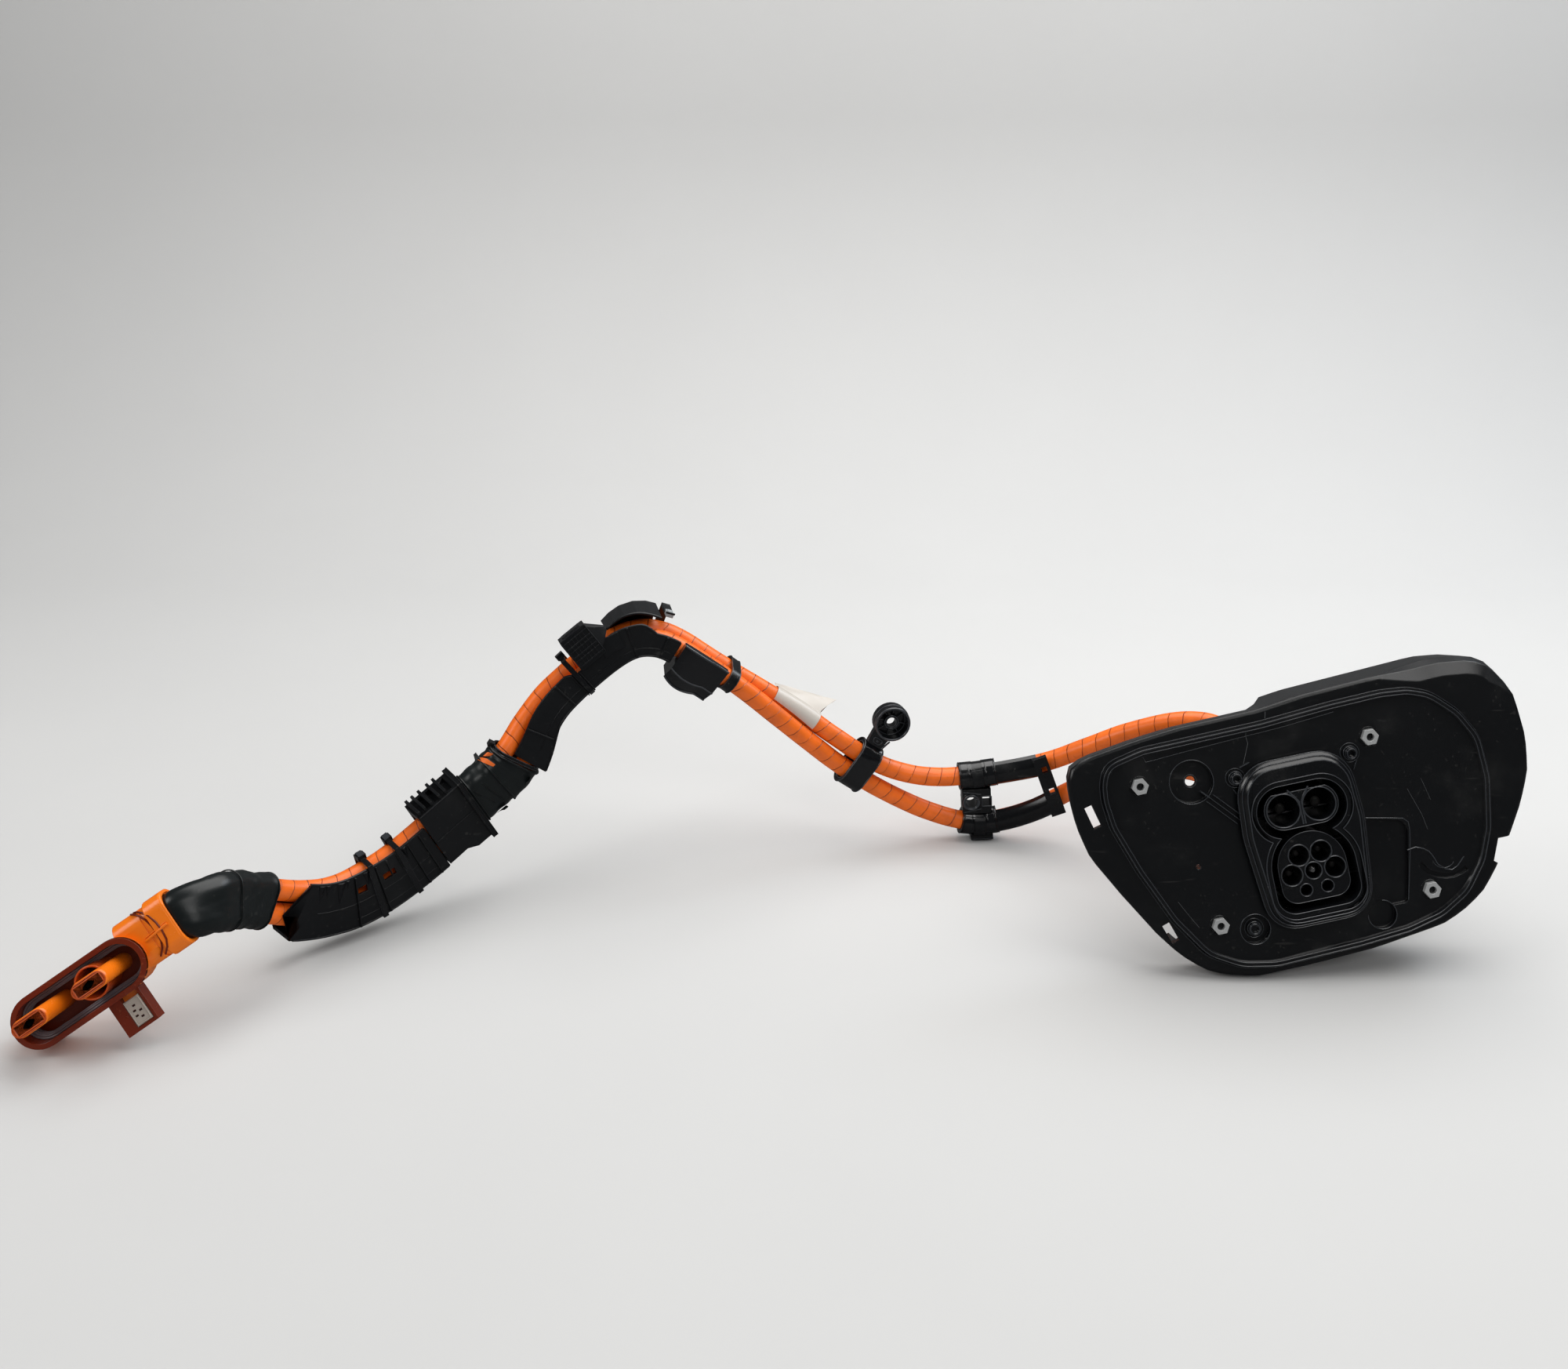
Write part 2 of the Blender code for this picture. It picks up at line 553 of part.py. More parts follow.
def inlet(frame):
    front = moved(frame, INLET_X, INLET_Y, 0)
    opening = mouth()
    hole = mouth(BOWL_WALL + 0.4)
    collar = resample(rounded(COLLAR, COLLAR_RADII, 6), len(hole))
    start = int(np.argmin(np.linalg.norm(collar - hole[0], axis=1)))
    collar = np.roll(collar, -start, axis=0)
    if np.linalg.norm(collar[5] - hole[5]) > np.linalg.norm(collar[-5] - hole[5]):
        collar = np.roll(collar[::-1], 1, axis=0)
    base = PANEL_Z + 2.2
    loops = [
        at_height(collar, base),
        at_height(collar, base + 3.4),
        at_height(offset(collar, -2.2), base + 4.6),
        at_height(offset(collar, -2.6), base + 6.4),
        at_height(offset(collar, -4.2), base + 8.4),
        at_height(offset(collar, -5.8), COLLAR_TOP),
        at_height(hole, COLLAR_TOP),
        at_height(hole, base),
    ]
    solid("inlet_frame", loft(loops, True), front, "black")
    seat = offset(collar, -5.0)
    gasket = loft([
        at_height(seat, PANEL_Z + GAP), at_height(seat, base - GAP),
        at_height(hole, base - GAP), at_height(hole, PANEL_Z + GAP)], True)
    solid("inlet_gasket", gasket, front, "rubber")
    outside = mouth(BOWL_WALL)
    bowl = loft([
        at_height(outside, BODY_BACK), at_height(outside, BODY_TOP),
        at_height(opening, BODY_TOP), at_height(opening, BOWL_FLOOR)])
    body = solid("inlet_body", bowl, front, "black")
    lobe_r = DC_BORE + 2.2
    low = BOWL_FLOOR - 1.0
    twin = arc(DC_X, DC_Y, lobe_r, 62, -90, 14) + arc(-DC_X, DC_Y, lobe_r, 270, 118, 14)
    boolean(body, prism(twin, low, TWIN_TOP), front, "UNION")
    plug = arc(0, -16.5, 26.6, 180, 0, 16)
    plug += arc(14.6, -31.3, 12, 0, -90, 5) + arc(-14.6, -31.3, 12, 270, 180, 5)
    boolean(body, prism(plug, low, PLUG_TOP), front, "UNION")
    over = TWIN_TOP + 4
    bores = [prism(circle(x, DC_Y, DC_BORE, 28), BORE_FLOOR, over) for x in (-DC_X, DC_X)]
    bores += [prism(circle(x, y, AC_BORE, 20), BORE_FLOOR, over) for x, y in AC_SPOTS]
    bores += [prism(circle(*PE_SPOT, PE_BORE, 20), BORE_FLOOR, over)]
    bores += [prism(circle(x, y, PILOT_BORE, 16), BORE_FLOOR, over) for x, y in PILOT_SPOTS]
    boolean(body, joined(*bores), front)
    lengthwise = Matrix.Rotation(pi / 2, 4, "Y")
    wall = float(max(p[0] for p in outside))
    pin_at = moved(front, wall, *LOCK_SPOT)
    pin_hole = turned(prism(circle(0, 0, LOCK_R + 2 * GAP, 16), -PIN_TRAVEL - 5, 13), lengthwise)
    boolean(body, pin_hole, pin_at)
    foot = BORE_FLOOR + GAP
    groups = (
        ("dc_pin", [(-DC_X, DC_Y), (DC_X, DC_Y)], 4.0, TWIN_TOP - 8.4),
        ("ac_pin", AC_SPOTS, 2.6, PLUG_TOP - 7.0),
        ("pe_pin", [PE_SPOT], 2.8, PLUG_TOP - 3.0),
        ("pilot_pin", PILOT_SPOTS, 1.5, PLUG_TOP - 9.0),
    )
    for name, spots, r, top in groups:
        for k, (x, y) in enumerate(spots):
            rod = loft([at_height(circle(0, 0, q, 14), z) for q, z in (
                (r, foot), (r, top - 1.0), (r * 0.6, top))])
            label = name if len(spots) == 1 else f"{name}_{k + 1}"
            solid(label, rod, moved(front, x, y, 0), "steel")
    cover = resample(rounded(((-40, 56), (40, 56), (42, 10), (36, -55), (-36, -55), (-42, 10)), 22), 60)
    box = loft([
        at_height(cover, BODY_BACK - GAP), at_height(cover, COVER_BACK + 5),
        at_height(offset(cover, -3), COVER_BACK)])
    rear = solid("rear_cover", box, frame, "black")
    wells = (COVER_BACK + 20.5, COVER_BACK - 2)
    sockets = [prism(circle(x, DC_Y, GRIP_R + 0.5, 24), *wells) for x in (-DC_X, DC_X)]
    boolean(rear, joined(*sockets), frame)
    for k, x in enumerate((-DC_X, DC_X)):
        gland = loft([at_height(circle(0, 0, r, 24), z) for r, z in (
            (13.4, COVER_BACK - GAP), (13.4, COVER_BACK - 6), (11.6, COVER_BACK - 7.5),
            (11.6, GLAND_BACK), (GRIP_R + 0.5, GLAND_BACK), (GRIP_R + 0.5, COVER_BACK - GAP))], True)
        solid(f"cable_gland_{k + 1}", gland, moved(frame, x, DC_Y, 0), "grey")
    case = block(50.5, 8, -34, 92, 48, PANEL_Z - PANEL_T - GAP - 1)
    actuator = solid("lock_actuator", case, frame, "black")
    boolean(actuator, turned(prism(circle(0, 0, LOCK_R + 2 * GAP, 16), 10, 23), lengthwise), pin_at)
    pin = turned(prism(circle(0, 0, LOCK_R, 16), 0, 22.0), lengthwise)
    solid("lock_pin", pin, moved(pin_at, -3.6, 0, 0), "steel")


def cable(name, route):
    points, _ = smooth_route(route, CABLE_SAMPLES)
    data = bpy.data.curves.new(name, "CURVE")
    data.dimensions = "3D"
    data.bevel_depth = CABLE_R * MM
    data.bevel_resolution = 2
    data.use_fill_caps = True
    line = data.splines.new("POLY")
    line.points.add(len(points) - 1)
    for spot, p in zip(line.points, points):
        spot.co = (*p, 1.0)
    obj = bpy.data.objects.new(name, data)
    bpy.context.collection.objects.link(obj)
    obj.parent = root
    data.materials.append(material(name, *LOOKS["orange"]))
    return obj


def neck_outline(y_scale, z_scale):
    """Outline of the neck's cross-section, scaled about its middle."""
    wide, high = NECK_W * y_scale, NECK_H * z_scale
    return rounded(box_outline(NECK_Y - wide, NECK_Z - high, NECK_Y + wide, NECK_Z + high), 10.5, 5)


def neck_core(grow):
    outline = obround(CORE_Y + GRIP_R + grow, GRIP_R + grow, 8)
    return [(NECK_Y + y, NECK_Z + z) for y, z in outline]


def connector(frame):
    outer = resample(obround(SHROUD_L, SHROUD_W, 12), 48)
    loops = [
        at_height(offset(outer, -3), SHROUD_BACK), at_height(outer, SHROUD_BACK + 3),
        at_height(outer, -3.5), at_height(offset(outer, 1.2), -3.5), at_height(offset(outer, 1.2), 0),
    ]
    housing = solid("connector_housing", loft(loops), frame, "amber")
    lengthwise = Matrix(((0, 0, 1, 0), (1, 0, 0, 0), (0, 1, 0, 0), (0, 0, 0, 1)))
    boolean(housing, turned(prism(neck_outline(1, 1), SHROUD_L - 14, NECK_END), lengthwise), frame, "UNION")
    latch_x, latch_y = LATCH_AT
    hook = block(latch_x - 16, latch_y - 13, SHROUD_BACK + 10, latch_x + 8.8, 4 - SHROUD_W, LATCH_TOP)
    boolean(housing, hook, frame, "UNION")
    inner = resample(obround(SHROUD_L - SHROUD_WALL, SHROUD_W - SHROUD_WALL, 12), 48)
    boolean(housing, prism(inner, SHROUD_FLOOR, 3), frame)
    boolean(housing, turned(prism(neck_core(0), SHROUD_L + 1, NECK_END + 2), lengthwise), frame)
    boolean(housing, turned(prism(neck_core(1.2), NECK_END - 10.5, NECK_END + 2), lengthwise), frame)
    half_w, half_l = LATCH_W / 2, LATCH_L / 2
    room = block(
        latch_x - half_w - 2 * GAP, latch_y - half_l - 2 * GAP, LATCH_TOP - 5,
        latch_x + half_w + 2 * GAP, latch_y + half_l + GAP + LATCH_TRAVEL, LATCH_TOP + 1)
    boolean(housing, room, frame)
    groove = band(neck_outline(1.2, 1.3), neck_outline(0.965, 0.94), NECK_END - 19.0, NECK_END - 17.5)
    boolean(housing, turned(groove, lengthwise), frame)
    cap = band(neck_outline(1.1, 1.15), neck_outline(1.018, 1.03), NECK_END - 14.0, NECK_END)
    solid("connector_cap", turned(cap, lengthwise), frame, "amber")
    seat = resample(obround(SHROUD_L - SHROUD_WALL - GAP, SHROUD_W - SHROUD_WALL - GAP, 12), 48)
    lip = offset(seat, -3.6)
    solid("connector_seal", band(seat, lip, -19.0, -11.0), frame, "grey")
    for k, (x, y) in enumerate(CONTACTS):
        shape = resample(obround(14, 6.4, 8), 32)
        spot = moved(frame, x, y, 0)
        carrier_loops = [
            at_height(shape, SHROUD_FLOOR + GAP), at_height(shape, CONTACT_TOP - 2),
            at_height(offset(shape, -1.2), CONTACT_TOP)]
        holder = solid(f"contact_carrier_{k + 1}", loft(carrier_loops), spot, "amber")
        boolean(holder, block(-10.5, -3.5, -8, 10.5, 3.5, CONTACT_TOP + 4), spot)
        blade = block(-9.6, -1.6, -8 + GAP, 9.6, 1.6, 10)
        solid(f"contact_blade_{k + 1}", blade, spot, "steel")
    latch = block(-half_w, -half_l, GAP - 5, half_w, half_l, 0.6)
    solid("connector_lock", latch, moved(frame, latch_x, latch_y, LATCH_TOP), "pale")


def tie(name, station, outline_in, head_at, width=4.4, thick=1.3, head=3.6):
    """A strap round an outline, with its head outside at one point of it."""
    inner = resample(outline_in, 24)
    outer = offset(inner, thick)
    near, far = [(station[0] + station[1] * w * MM, *station[1:]) for w in (-width / 2, width / 2)]
    strap = loft([
        section_loop(near, outer), section_loop(far, outer),
        section_loop(far, inner), section_loop(near, inner)], True)
    obj = solid(name, strap, WORLD, "black")
    a, b = head_at
    square = box_outline(a - 3.2, b - 2.4, a + 3.2, b + 2.4)
    ends = [(station[0] + station[1] * w * MM, *station[1:]) for w in (-head, head)]
    boolean(obj, loft([section_loop(e, square) for e in ends]), WORLD, "UNION")
    return obj


def lower_fittings():
    swell = [0.6, 0.8, 0.0, -0.2, 0.3, 0.0, -0.3, 0.2, 0.0, 0.0, 0.2, 0.6]
    solid("boot_sleeve", pair_sleeve(BOOT, GRIP_R + 0.4, GRIP_R + 2.2, 12, swell), WORLD, "rubber")
    inside, outside = GRIP_R, GRIP_R + 2.2
    trough = [
        (-outside, -17), (outside, -17), (outside, 3), (outside, 29), (inside, 29), (inside, 3),
        (inside, -14.8), (-inside, -14.8), (-inside, 3), (-inside, 20), (-outside, 20), (-outside, 3)]
    places = spread(LOWER_DUCT, 14)
    stations = [facing(pair_station(s)) for s in places]
    arrow = [0, 0, -13, 3, 3, -13, 0, 0, -13, 3, 3, -13]
    shifts = [arrow] + [None] * (len(stations) - 1)
    duct = solid("lower_duct", swept(stations, trough, shifts), WORLD, "duct")
    for s in (195.0, 224.0):
        window = box_outline(inside - 2, 12.0, outside + 3, 18.0)
        ends = [facing(pair_station(s + d)) for d in (-6.0, 6.0)]
        boolean(duct, swept(ends, window), WORLD)
    places = spread(DUCT_BLOCK, 6)
    stations = [facing(pair_station(s)) for s in places]
    outer = []
    for k, st in enumerate(stations):
        foot = -20.0 if k > 2 else -14.5
        outer.append(section_loop(st, box_outline(-13.5, foot, 13.5, st[4] + 18.0)))
    well = inside + 0.4
    inner = [section_loop(st, box_outline(-well, -10.4, well, st[4] + 10.4)) for st in stations]
    shape = solid("duct_block", loft(outer + inner[::-1], True), WORLD, "duct")
    ends = [facing(pair_station(s)) for s in (DUCT_BLOCK[1] - 3.5, DUCT_BLOCK[1] - 0.2)]
    top = ends[0][4]
    flange = swept_ring(
        ends, box_outline(-16, -22, 16, top + 19.5), box_outline(-11.3, -12.6, 11.3, top + 12.4))
    boolean(shape, flange, WORLD, "UNION")
    for s in (283.0, 294.0, 305.0):
        ends = [facing(pair_station(s + d)) for d in (-3.4, 3.4)]
        pocket = [section_loop(st, box_outline(-10, st[4] + 13.0, 10, st[4] + 24)) for st in ends]
        boolean(shape, loft(pocket), WORLD)
    for k, span in enumerate((BAND_1, BAND_2)):
        ring = pair_sleeve(span, GRIP_R + 0.5, GRIP_R + 2.6, 5, [0.4, -0.2, 0.0, -0.2, 0.6])
        solid(f"rubber_band_{k + 1}", ring, WORLD, "rubber")
    for k, s in enumerate((209.0, 240.0)):
        station = facing(pair_station(s))
        top = station[4] + CABLE_R + 0.9
        around = box_outline(-outside - 0.8, -17 - 0.8, outside + 0.8, top)
        tie(f"cable_tie_{k + 1}", station, around, (-3.0, top + 2.6))
    station = pair_station(TIES[0])
    head_at = (0.0, station[4] + CABLE_R + 5.1)
    tie("cable_tie_3", station, pair_ring(CABLE_R + 2.1, station[4]), head_at, 2.6, head=2.2)
    station = pair_station(TIES[2])
    head_at = (-3.0, station[4] + CABLE_R + 3.4)
    tie("cable_tie_5", station, pair_ring(CABLE_R + 0.8, station[4]), head_at, 9.0, 1.8, 5.5)


def arch_fittings():
    inside, outside = GRIP_R, GRIP_R + 2.2
    places = spread(ARCH_DUCT, 24)
    stations = [depth_station(s) for s in places]
    steps = [JUNCTION + d for d in (-27.0, -18.0, 15.0, 21.0, 45.0, 54.0)]
    tops = np.interp(places, steps, (12.0, 6.5, 6.5, 16.0, 16.0, 8.0))
    loops = []
    for k, (st, wall) in enumerate(zip(stations, tops)):
        flare = 6.0 * max(0.0, 1 - k / 5)
        section = [
            (outside, -outside - flare), (outside, wall), (inside, wall), (inside, -inside),
            (-27.6, -inside), (-27.6, 4), (-29.8, 4), (-29.8, -outside - flare)]
        loops.append(section_loop(st, section))
    solid("arch_duct", loft(loops), WORLD, "duct")
    places = spread(ARCH_COVER, 6)
    loops = []
    for k, s in enumerate(places):
        lift = 4.0 * sin(pi * k / 5)
        roof = 19.5 + lift
        section = [
            (-29.6, 4.4), (-27.5, 4.4), (-27.5, roof), (3, roof), (3, roof + 2), (-29.6, roof + 2)]
        loops.append(section_loop(depth_station(s), section))
    solid("arch_cover", loft(loops), WORLD, "duct")
    ends = [depth_station(ARCH_CLIP + d) for d in (-4.0, 4.0)]
    solid("arch_clip", swept(ends, [
        (-29.6, 4.4), (-27.5, 4.4), (-27.5, 19.4), (-6, 19.4), (-6, 22.6), (-29.6, 22.6)]), WORLD, "pale")
    ends = [depth_station(JUNCTION)]
    origin, tangent, front, up, _ = ends[0]
    spans = [(origin + tangent * d * MM, tangent, front, up, 0.0) for d in (-12.5, 12.5)]
    socket = solid("junction_block", swept(spans, [
        (-1.5, 10.6), (8.9, 10.6), (8.9, 7.2), (16.5, 7.2), (16.5, 36.5), (-1.5, 36.5)]), WORLD, "duct")
    for low, high in ((9.2, 16.5), (18.3, 25.4), (27.2, 34.6)):
        inner = [(origin + tangent * d * MM, tangent, front, up, 0.0) for d in (-14.0, 8.0)]
        boolean(socket, swept(inner, box_outline(1.0, low, 14.5, high)), WORLD)
    spans = [depth_station(s) for s in spread(HOOD, 9)]
    loops = []
    inner = CABLE_R + GAP
    for k, st in enumerate(spans):
        grow = sin(pi * min(k / 2 + 1, 4) / 5)
        drop = 18.0 + 11.0 * grow
        loops.append(section_loop(st, [
            (inner, 10), (13 + 5 * grow, 10), (14 + 6 * grow, -drop * 0.55), (11.5, -drop),
            (-9, -drop), (-9, -inner), (inner, -inner)]))
    hood = solid("end_boot", loft(loops), WORLD, "duct")
    ends = [depth_station(s) for s in (HOOD[1] - 16, HOOD[1] + 4)]
    hollow = [(12.0, -5), (13.5, -5), (14.8, -11), (10.0, -21.5), (-4, -21.5), (-4, -12.0), (12.0, -12.0)]
    boolean(hood, swept(ends, hollow), WORLD)
    station = depth_station(TIES[1])
    around = box_outline(-31.4, -outside - 2.0, outside + 2.0, 23.0)
    tie("cable_tie_4", station, around, (-4.0, 25.6))
    return stations


def label():
    stations = [facing(pair_station(s, NEGATIVE, POSITIVE)) for s in spread(LABEL, 9)]
    r = CABLE_R + 1.0
    loops = []
    for k, station in enumerate(stations):
        path = [(r * cos(a), r * sin(a)) for a in np.linspace(radians(48), radians(-78), 12)]
        reach = 8.0 + 12.0 * (k / 8) ** 2
        for step in (0.33, 0.66, 1.0):
            path.append((path[11][0] - 0.45 * reach * step, path[11][1] - reach * step * (1 - 0.25 * step)))
        line = np.array(path)
        ahead = np.gradient(line, axis=0)
        ahead /= np.linalg.norm(ahead, axis=1)[:, None]
        side = np.stack([ahead[:, 1], -ahead[:, 0]], axis=1) * 0.2
        section = [tuple(p) for p in line + side] + [tuple(p) for p in (line - side)[::-1]]
        loops.append(section_loop(station, section))
    solid("cable_label", loft(loops), WORLD, "pale")


def p_clip():
    station = facing(pair_station(P_CLIP))
    origin, tangent, front, up, spacing = station
    r = CABLE_R + 0.9
    ends = [facing(pair_station(P_CLIP + d)) for d in (-9.4, -3.0, 3.0, 9.4)]
    grommet = swept_ring(ends, pair_ring(r + 1.8, spacing), pair_ring(r, spacing))
    solid("p_clip_grommet", grommet, WORLD, "rubber")
    ends = [facing(pair_station(P_CLIP + d)) for d in (-10.0, -3.0, 3.0, 10.0)]
    loop = swept_ring(ends, pair_ring(r + 4.4, spacing), pair_ring(r + 2.1, spacing))
    clip = solid("p_clip", loop, WORLD, "black")
    turn = Matrix((tangent, up, front)).transposed()
    if turn.determinant() < 0:
        turn = Matrix((-tangent, up, front)).transposed()
    local = frame_of(turn, origin)
    high = spacing + r
    cup_y = spacing + 40.0
    neck = rounded(((-7, high + 3.3), (7, high + 3.3), (10.4, cup_y), (-10.4, cup_y)), 1.5, 2)
    boolean(clip, prism(neck, -3.7, 2.8), local, "UNION")
    cup = prism(circle(0, cup_y, 16.2, 32), -5, 8)
    boolean(clip, cup, local, "UNION")
    boolean(clip, prism(circle(0, cup_y, 14.0, 32), -2, 10), local)
    boolean(clip, prism(circle(0, cup_y, 6.6, 20), -2.6, 2.5), local, "UNION")
    boolean(clip, prism(circle(0, cup_y, 4.4, 20), -7, 10), local)


def guide():
    ring_r = GRIP_R + 2.6
    spots = [facing(pair_station(s, NEGATIVE, POSITIVE)) for s in spread(GUIDE_POSITIVE, 5)]
    ring = swept_ring(spots, circle(0, 0, ring_r, 24), circle(0, 0, GRIP_R, 24))
    body = solid("guide_bracket", ring, WORLD, "black")
    low_spots = [facing(pair_station(s)) for s in spread(GUIDE_NEGATIVE, 5)]
    low_ring = swept_ring(low_spots, circle(0, 0, ring_r, 24), circle(0, 0, GRIP_R, 24))
    boolean(body, low_ring, WORLD, "UNION")
    top = spots[2]
    low = low_spots[2]
    middle = (top[0] + low[0]) / 2
    up = unit(top[0] - low[0])
    front = unit(TOWARD_EYE - up * (TOWARD_EYE @ up))
    across = np.cross(up, front)
    local = frame_of(Matrix((across, up, front)).transposed(), middle)
    half = np.linalg.norm(top[0] - low[0]) / MM / 2
    web = half - GRIP_R - 2.0
    boolean(body, block(-15, -web, -7, 11, web, 8), local, "UNION")
    boolean(body, prism(circle(-7, 0, 8.2, 24), -7, 9.5), local, "UNION")
    boolean(body, block(3, -4.5, -9, 11, 4.5, 12), local)
    boolean(body, prism(circle(-7, 0, 5.4, 24), -9, 12), local)
    boolean(body, block(-8, -half - 15.8, -6, 12, -half - GRIP_R - 1.2, 7), local, "UNION")
    sides = (
        (ARM_POSITIVE, POSITIVE, NEGATIVE), (ARM_NEGATIVE, NEGATIVE, POSITIVE))
    for span, path, other in sides:
        stops = [facing(pair_station(s, other, path)) for s in spread(span, 7)]
        fan = np.linspace(-1.25, 1.25, 9)
        outside = [((ring_r - 0.4) * cos(a), (ring_r - 0.4) * sin(a)) for a in fan]
        inside = [((GRIP_R + 0.2) * cos(a), (GRIP_R + 0.2) * sin(a)) for a in fan[::-1]]
        boolean(body, swept(stops, outside + inside), WORLD, "UNION")
    a = facing(pair_station(ARM_POSITIVE[1] + 2, NEGATIVE, POSITIVE))
    b = facing(pair_station(ARM_NEGATIVE[1] - 2))
    up = unit(a[0] - b[0])
    front = unit(TOWARD_EYE - up * (TOWARD_EYE @ up))
    bar_frame = frame_of(Matrix((np.cross(up, front), up, front)).transposed(), (a[0] + b[0]) / 2)
    reach = np.linalg.norm(a[0] - b[0]) / MM / 2
    boolean(body, block(-6.5, -reach - 9, 10.8, 6.5, reach + 11, 15.5), bar_frame, "UNION")
    notches = [block(-1.2, y, 8, 3.6, y + 6, 18) for y in (reach - 4, -7)]
    boolean(body, joined(*notches), bar_frame)
    for k, st in enumerate((top, low)):
        origin, tangent, face, rise, _ = st
        turn = Matrix((tangent, rise, face)).transposed()
        if turn.determinant() < 0:
            turn = Matrix((-tangent, rise, face)).transposed()
        sign = 1
        if rise @ (middle - origin) > 0:
            sign = -1
        fan = np.linspace(-0.6, 0.7, 9)
        bow = [(sign * (ring_r + 2.1) * sin(t), (ring_r + 2.1) * cos(t)) for t in fan]
        bow += [(sign * (ring_r + GAP) * sin(t), (ring_r + GAP) * cos(t)) for t in fan[::-1]]
        spans = [(origin + tangent * d * MM, tangent, face, rise, 0) for d in (-5, 5)]
        solid(f"guide_cap_{k + 1}", swept(spans, [(b, a) for a, b in bow]), WORLD, "black")


def settle():
    """Puts the middle of the whole at the origin and its lowest point on the floor."""
    bpy.context.view_layer.update()
    graph = bpy.context.evaluated_depsgraph_get()
    lows, highs = [], []
    for obj in bpy.data.objects:
        if obj.type in ("MESH", "CURVE") and not obj.hide_render:
            held = obj.evaluated_get(graph)
            mesh = held.to_mesh()
            spots = np.empty(len(mesh.vertices) * 3, np.float32)
            mesh.vertices.foreach_get("co", spots)
            held.to_mesh_clear()
            if not len(spots):
                raise RuntimeError(f"{obj.name} came out empty")
            world = np.array(held.matrix_world)
            spots = spots.reshape(-1, 3) @ world[:3, :3].T + world[:3, 3]
            lows.append(spots.min(axis=0))
            highs.append(spots.max(axis=0))
    low, high = np.min(lows, axis=0), np.max(highs, axis=0)
    root.location = (-(low[0] + high[0]) / 2, -(low[1] + high[1]) / 2, -low[2])


def main():
    global root, cutters
    clear_scene()
    root = bpy.data.objects.new("harness", None)
    bpy.context.collection.objects.link(root)
    cutters = bpy.data.collections.new("cutters")
    bpy.context.scene.collection.children.link(cutters)
    cutters.hide_render = True
    house = housing_frame()
    carrier(house)
    inlet(house)
    cable("hv_cable_positive", ROUTE_POSITIVE)
    cable("hv_cable_negative", ROUTE_NEGATIVE)
    connector(connector_frame())
    lower_fittings()
    arch_fittings()
    label()
    p_clip()
    guide()
    settle()


main()
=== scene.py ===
"""Looks of a vehicle charging inlet with its two high-voltage cables and their connector.

Sizes inside a piece are millimetres in that piece's own frame. The scene is in metres, +Z up.
"""

import json
from math import cos, pi, radians, sin, tau

import bmesh
import bpy
import numpy as np
from bpy.props import FloatProperty, FloatVectorProperty, PointerProperty
from mathutils import Matrix, Vector, noise


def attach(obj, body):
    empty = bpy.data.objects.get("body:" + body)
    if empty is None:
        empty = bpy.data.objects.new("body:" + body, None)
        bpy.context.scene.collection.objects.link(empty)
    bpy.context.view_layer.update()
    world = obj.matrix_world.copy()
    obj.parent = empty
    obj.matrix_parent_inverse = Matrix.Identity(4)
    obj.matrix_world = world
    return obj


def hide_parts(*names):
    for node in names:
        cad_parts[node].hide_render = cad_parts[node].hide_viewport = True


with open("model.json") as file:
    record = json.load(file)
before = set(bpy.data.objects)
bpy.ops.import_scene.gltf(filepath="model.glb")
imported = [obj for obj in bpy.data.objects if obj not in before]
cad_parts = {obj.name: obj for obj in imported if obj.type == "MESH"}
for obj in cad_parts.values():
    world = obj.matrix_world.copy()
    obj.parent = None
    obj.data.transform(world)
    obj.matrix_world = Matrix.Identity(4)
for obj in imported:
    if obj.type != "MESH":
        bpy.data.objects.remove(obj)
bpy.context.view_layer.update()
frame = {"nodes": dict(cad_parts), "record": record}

bl_info = {
    "name": "Charging Inlet Harness",
    "version": (1, 0, 0),
    "blender": (4, 5, 0),
    "location": "3D View > Sidebar > Harness",
    "description": "Builds the looks of a charging inlet, its cables, ducts and connector",
    "category": "Object",
}

MM = 0.001

# Places in metres and angles in degrees. The shift brings the harness's box over the origin.
HARNESS_SHIFT = np.array((0.003613, 0.003067, -0.000865))
HOUSING_AT = np.array((0.39199, -0.04289, 0.10309)) + HARNESS_SHIFT
HOUSING_LEAN, HOUSING_ROLL = 15.2, 12.0
CONNECTOR_AT = np.array((-0.5212, -0.15583, 0.04628)) + HARNESS_SHIFT
CONNECTOR_HEADING, CONNECTOR_SLOPE, CONNECTOR_LEAN = 12.7, -32.5, 20.2
TOWARD_EYE = np.array((0.0, -1.0, 0.0))

# The floor that sweeps up behind, the camera, and each lamp's place, aim, size and colour.
FLOOR_FRONT, FLOOR_SIDE = -7.0, 8.0
SWEEP_Y, SWEEP_R, WALL_TOP = 0.9, 0.6, 3.5
CAMERA_AT = np.array((-0.025, -1.165, 0.691)) + HARNESS_SHIFT
CAMERA_PITCH = 15.2
SENSOR, LENS = 36.0, 36.684
LENS_SHIFT = (0.0075, -0.1215)
WARM, COOL = (1.0, 0.99, 0.975), (0.85, 0.92, 1.0)
LAMPS = (
    ("top", (0.5, 0.45, 1.75), (0.2, 0.05, 0.1), (2.8, 1.9), WARM),
    ("rear", (1.75, 1.25, 1.6), (0.5, 0.0, 0.2), (1.1, 0.7), COOL),
    ("left", (-1.7, -0.7, 1.3), (-0.2, 0, 0.1), (0.9, 0.9), WARM),
    ("fill", (0.9, -1.9, 1.7), (0.1, 0, 0.1), (1.2, 0.8), WARM),
)

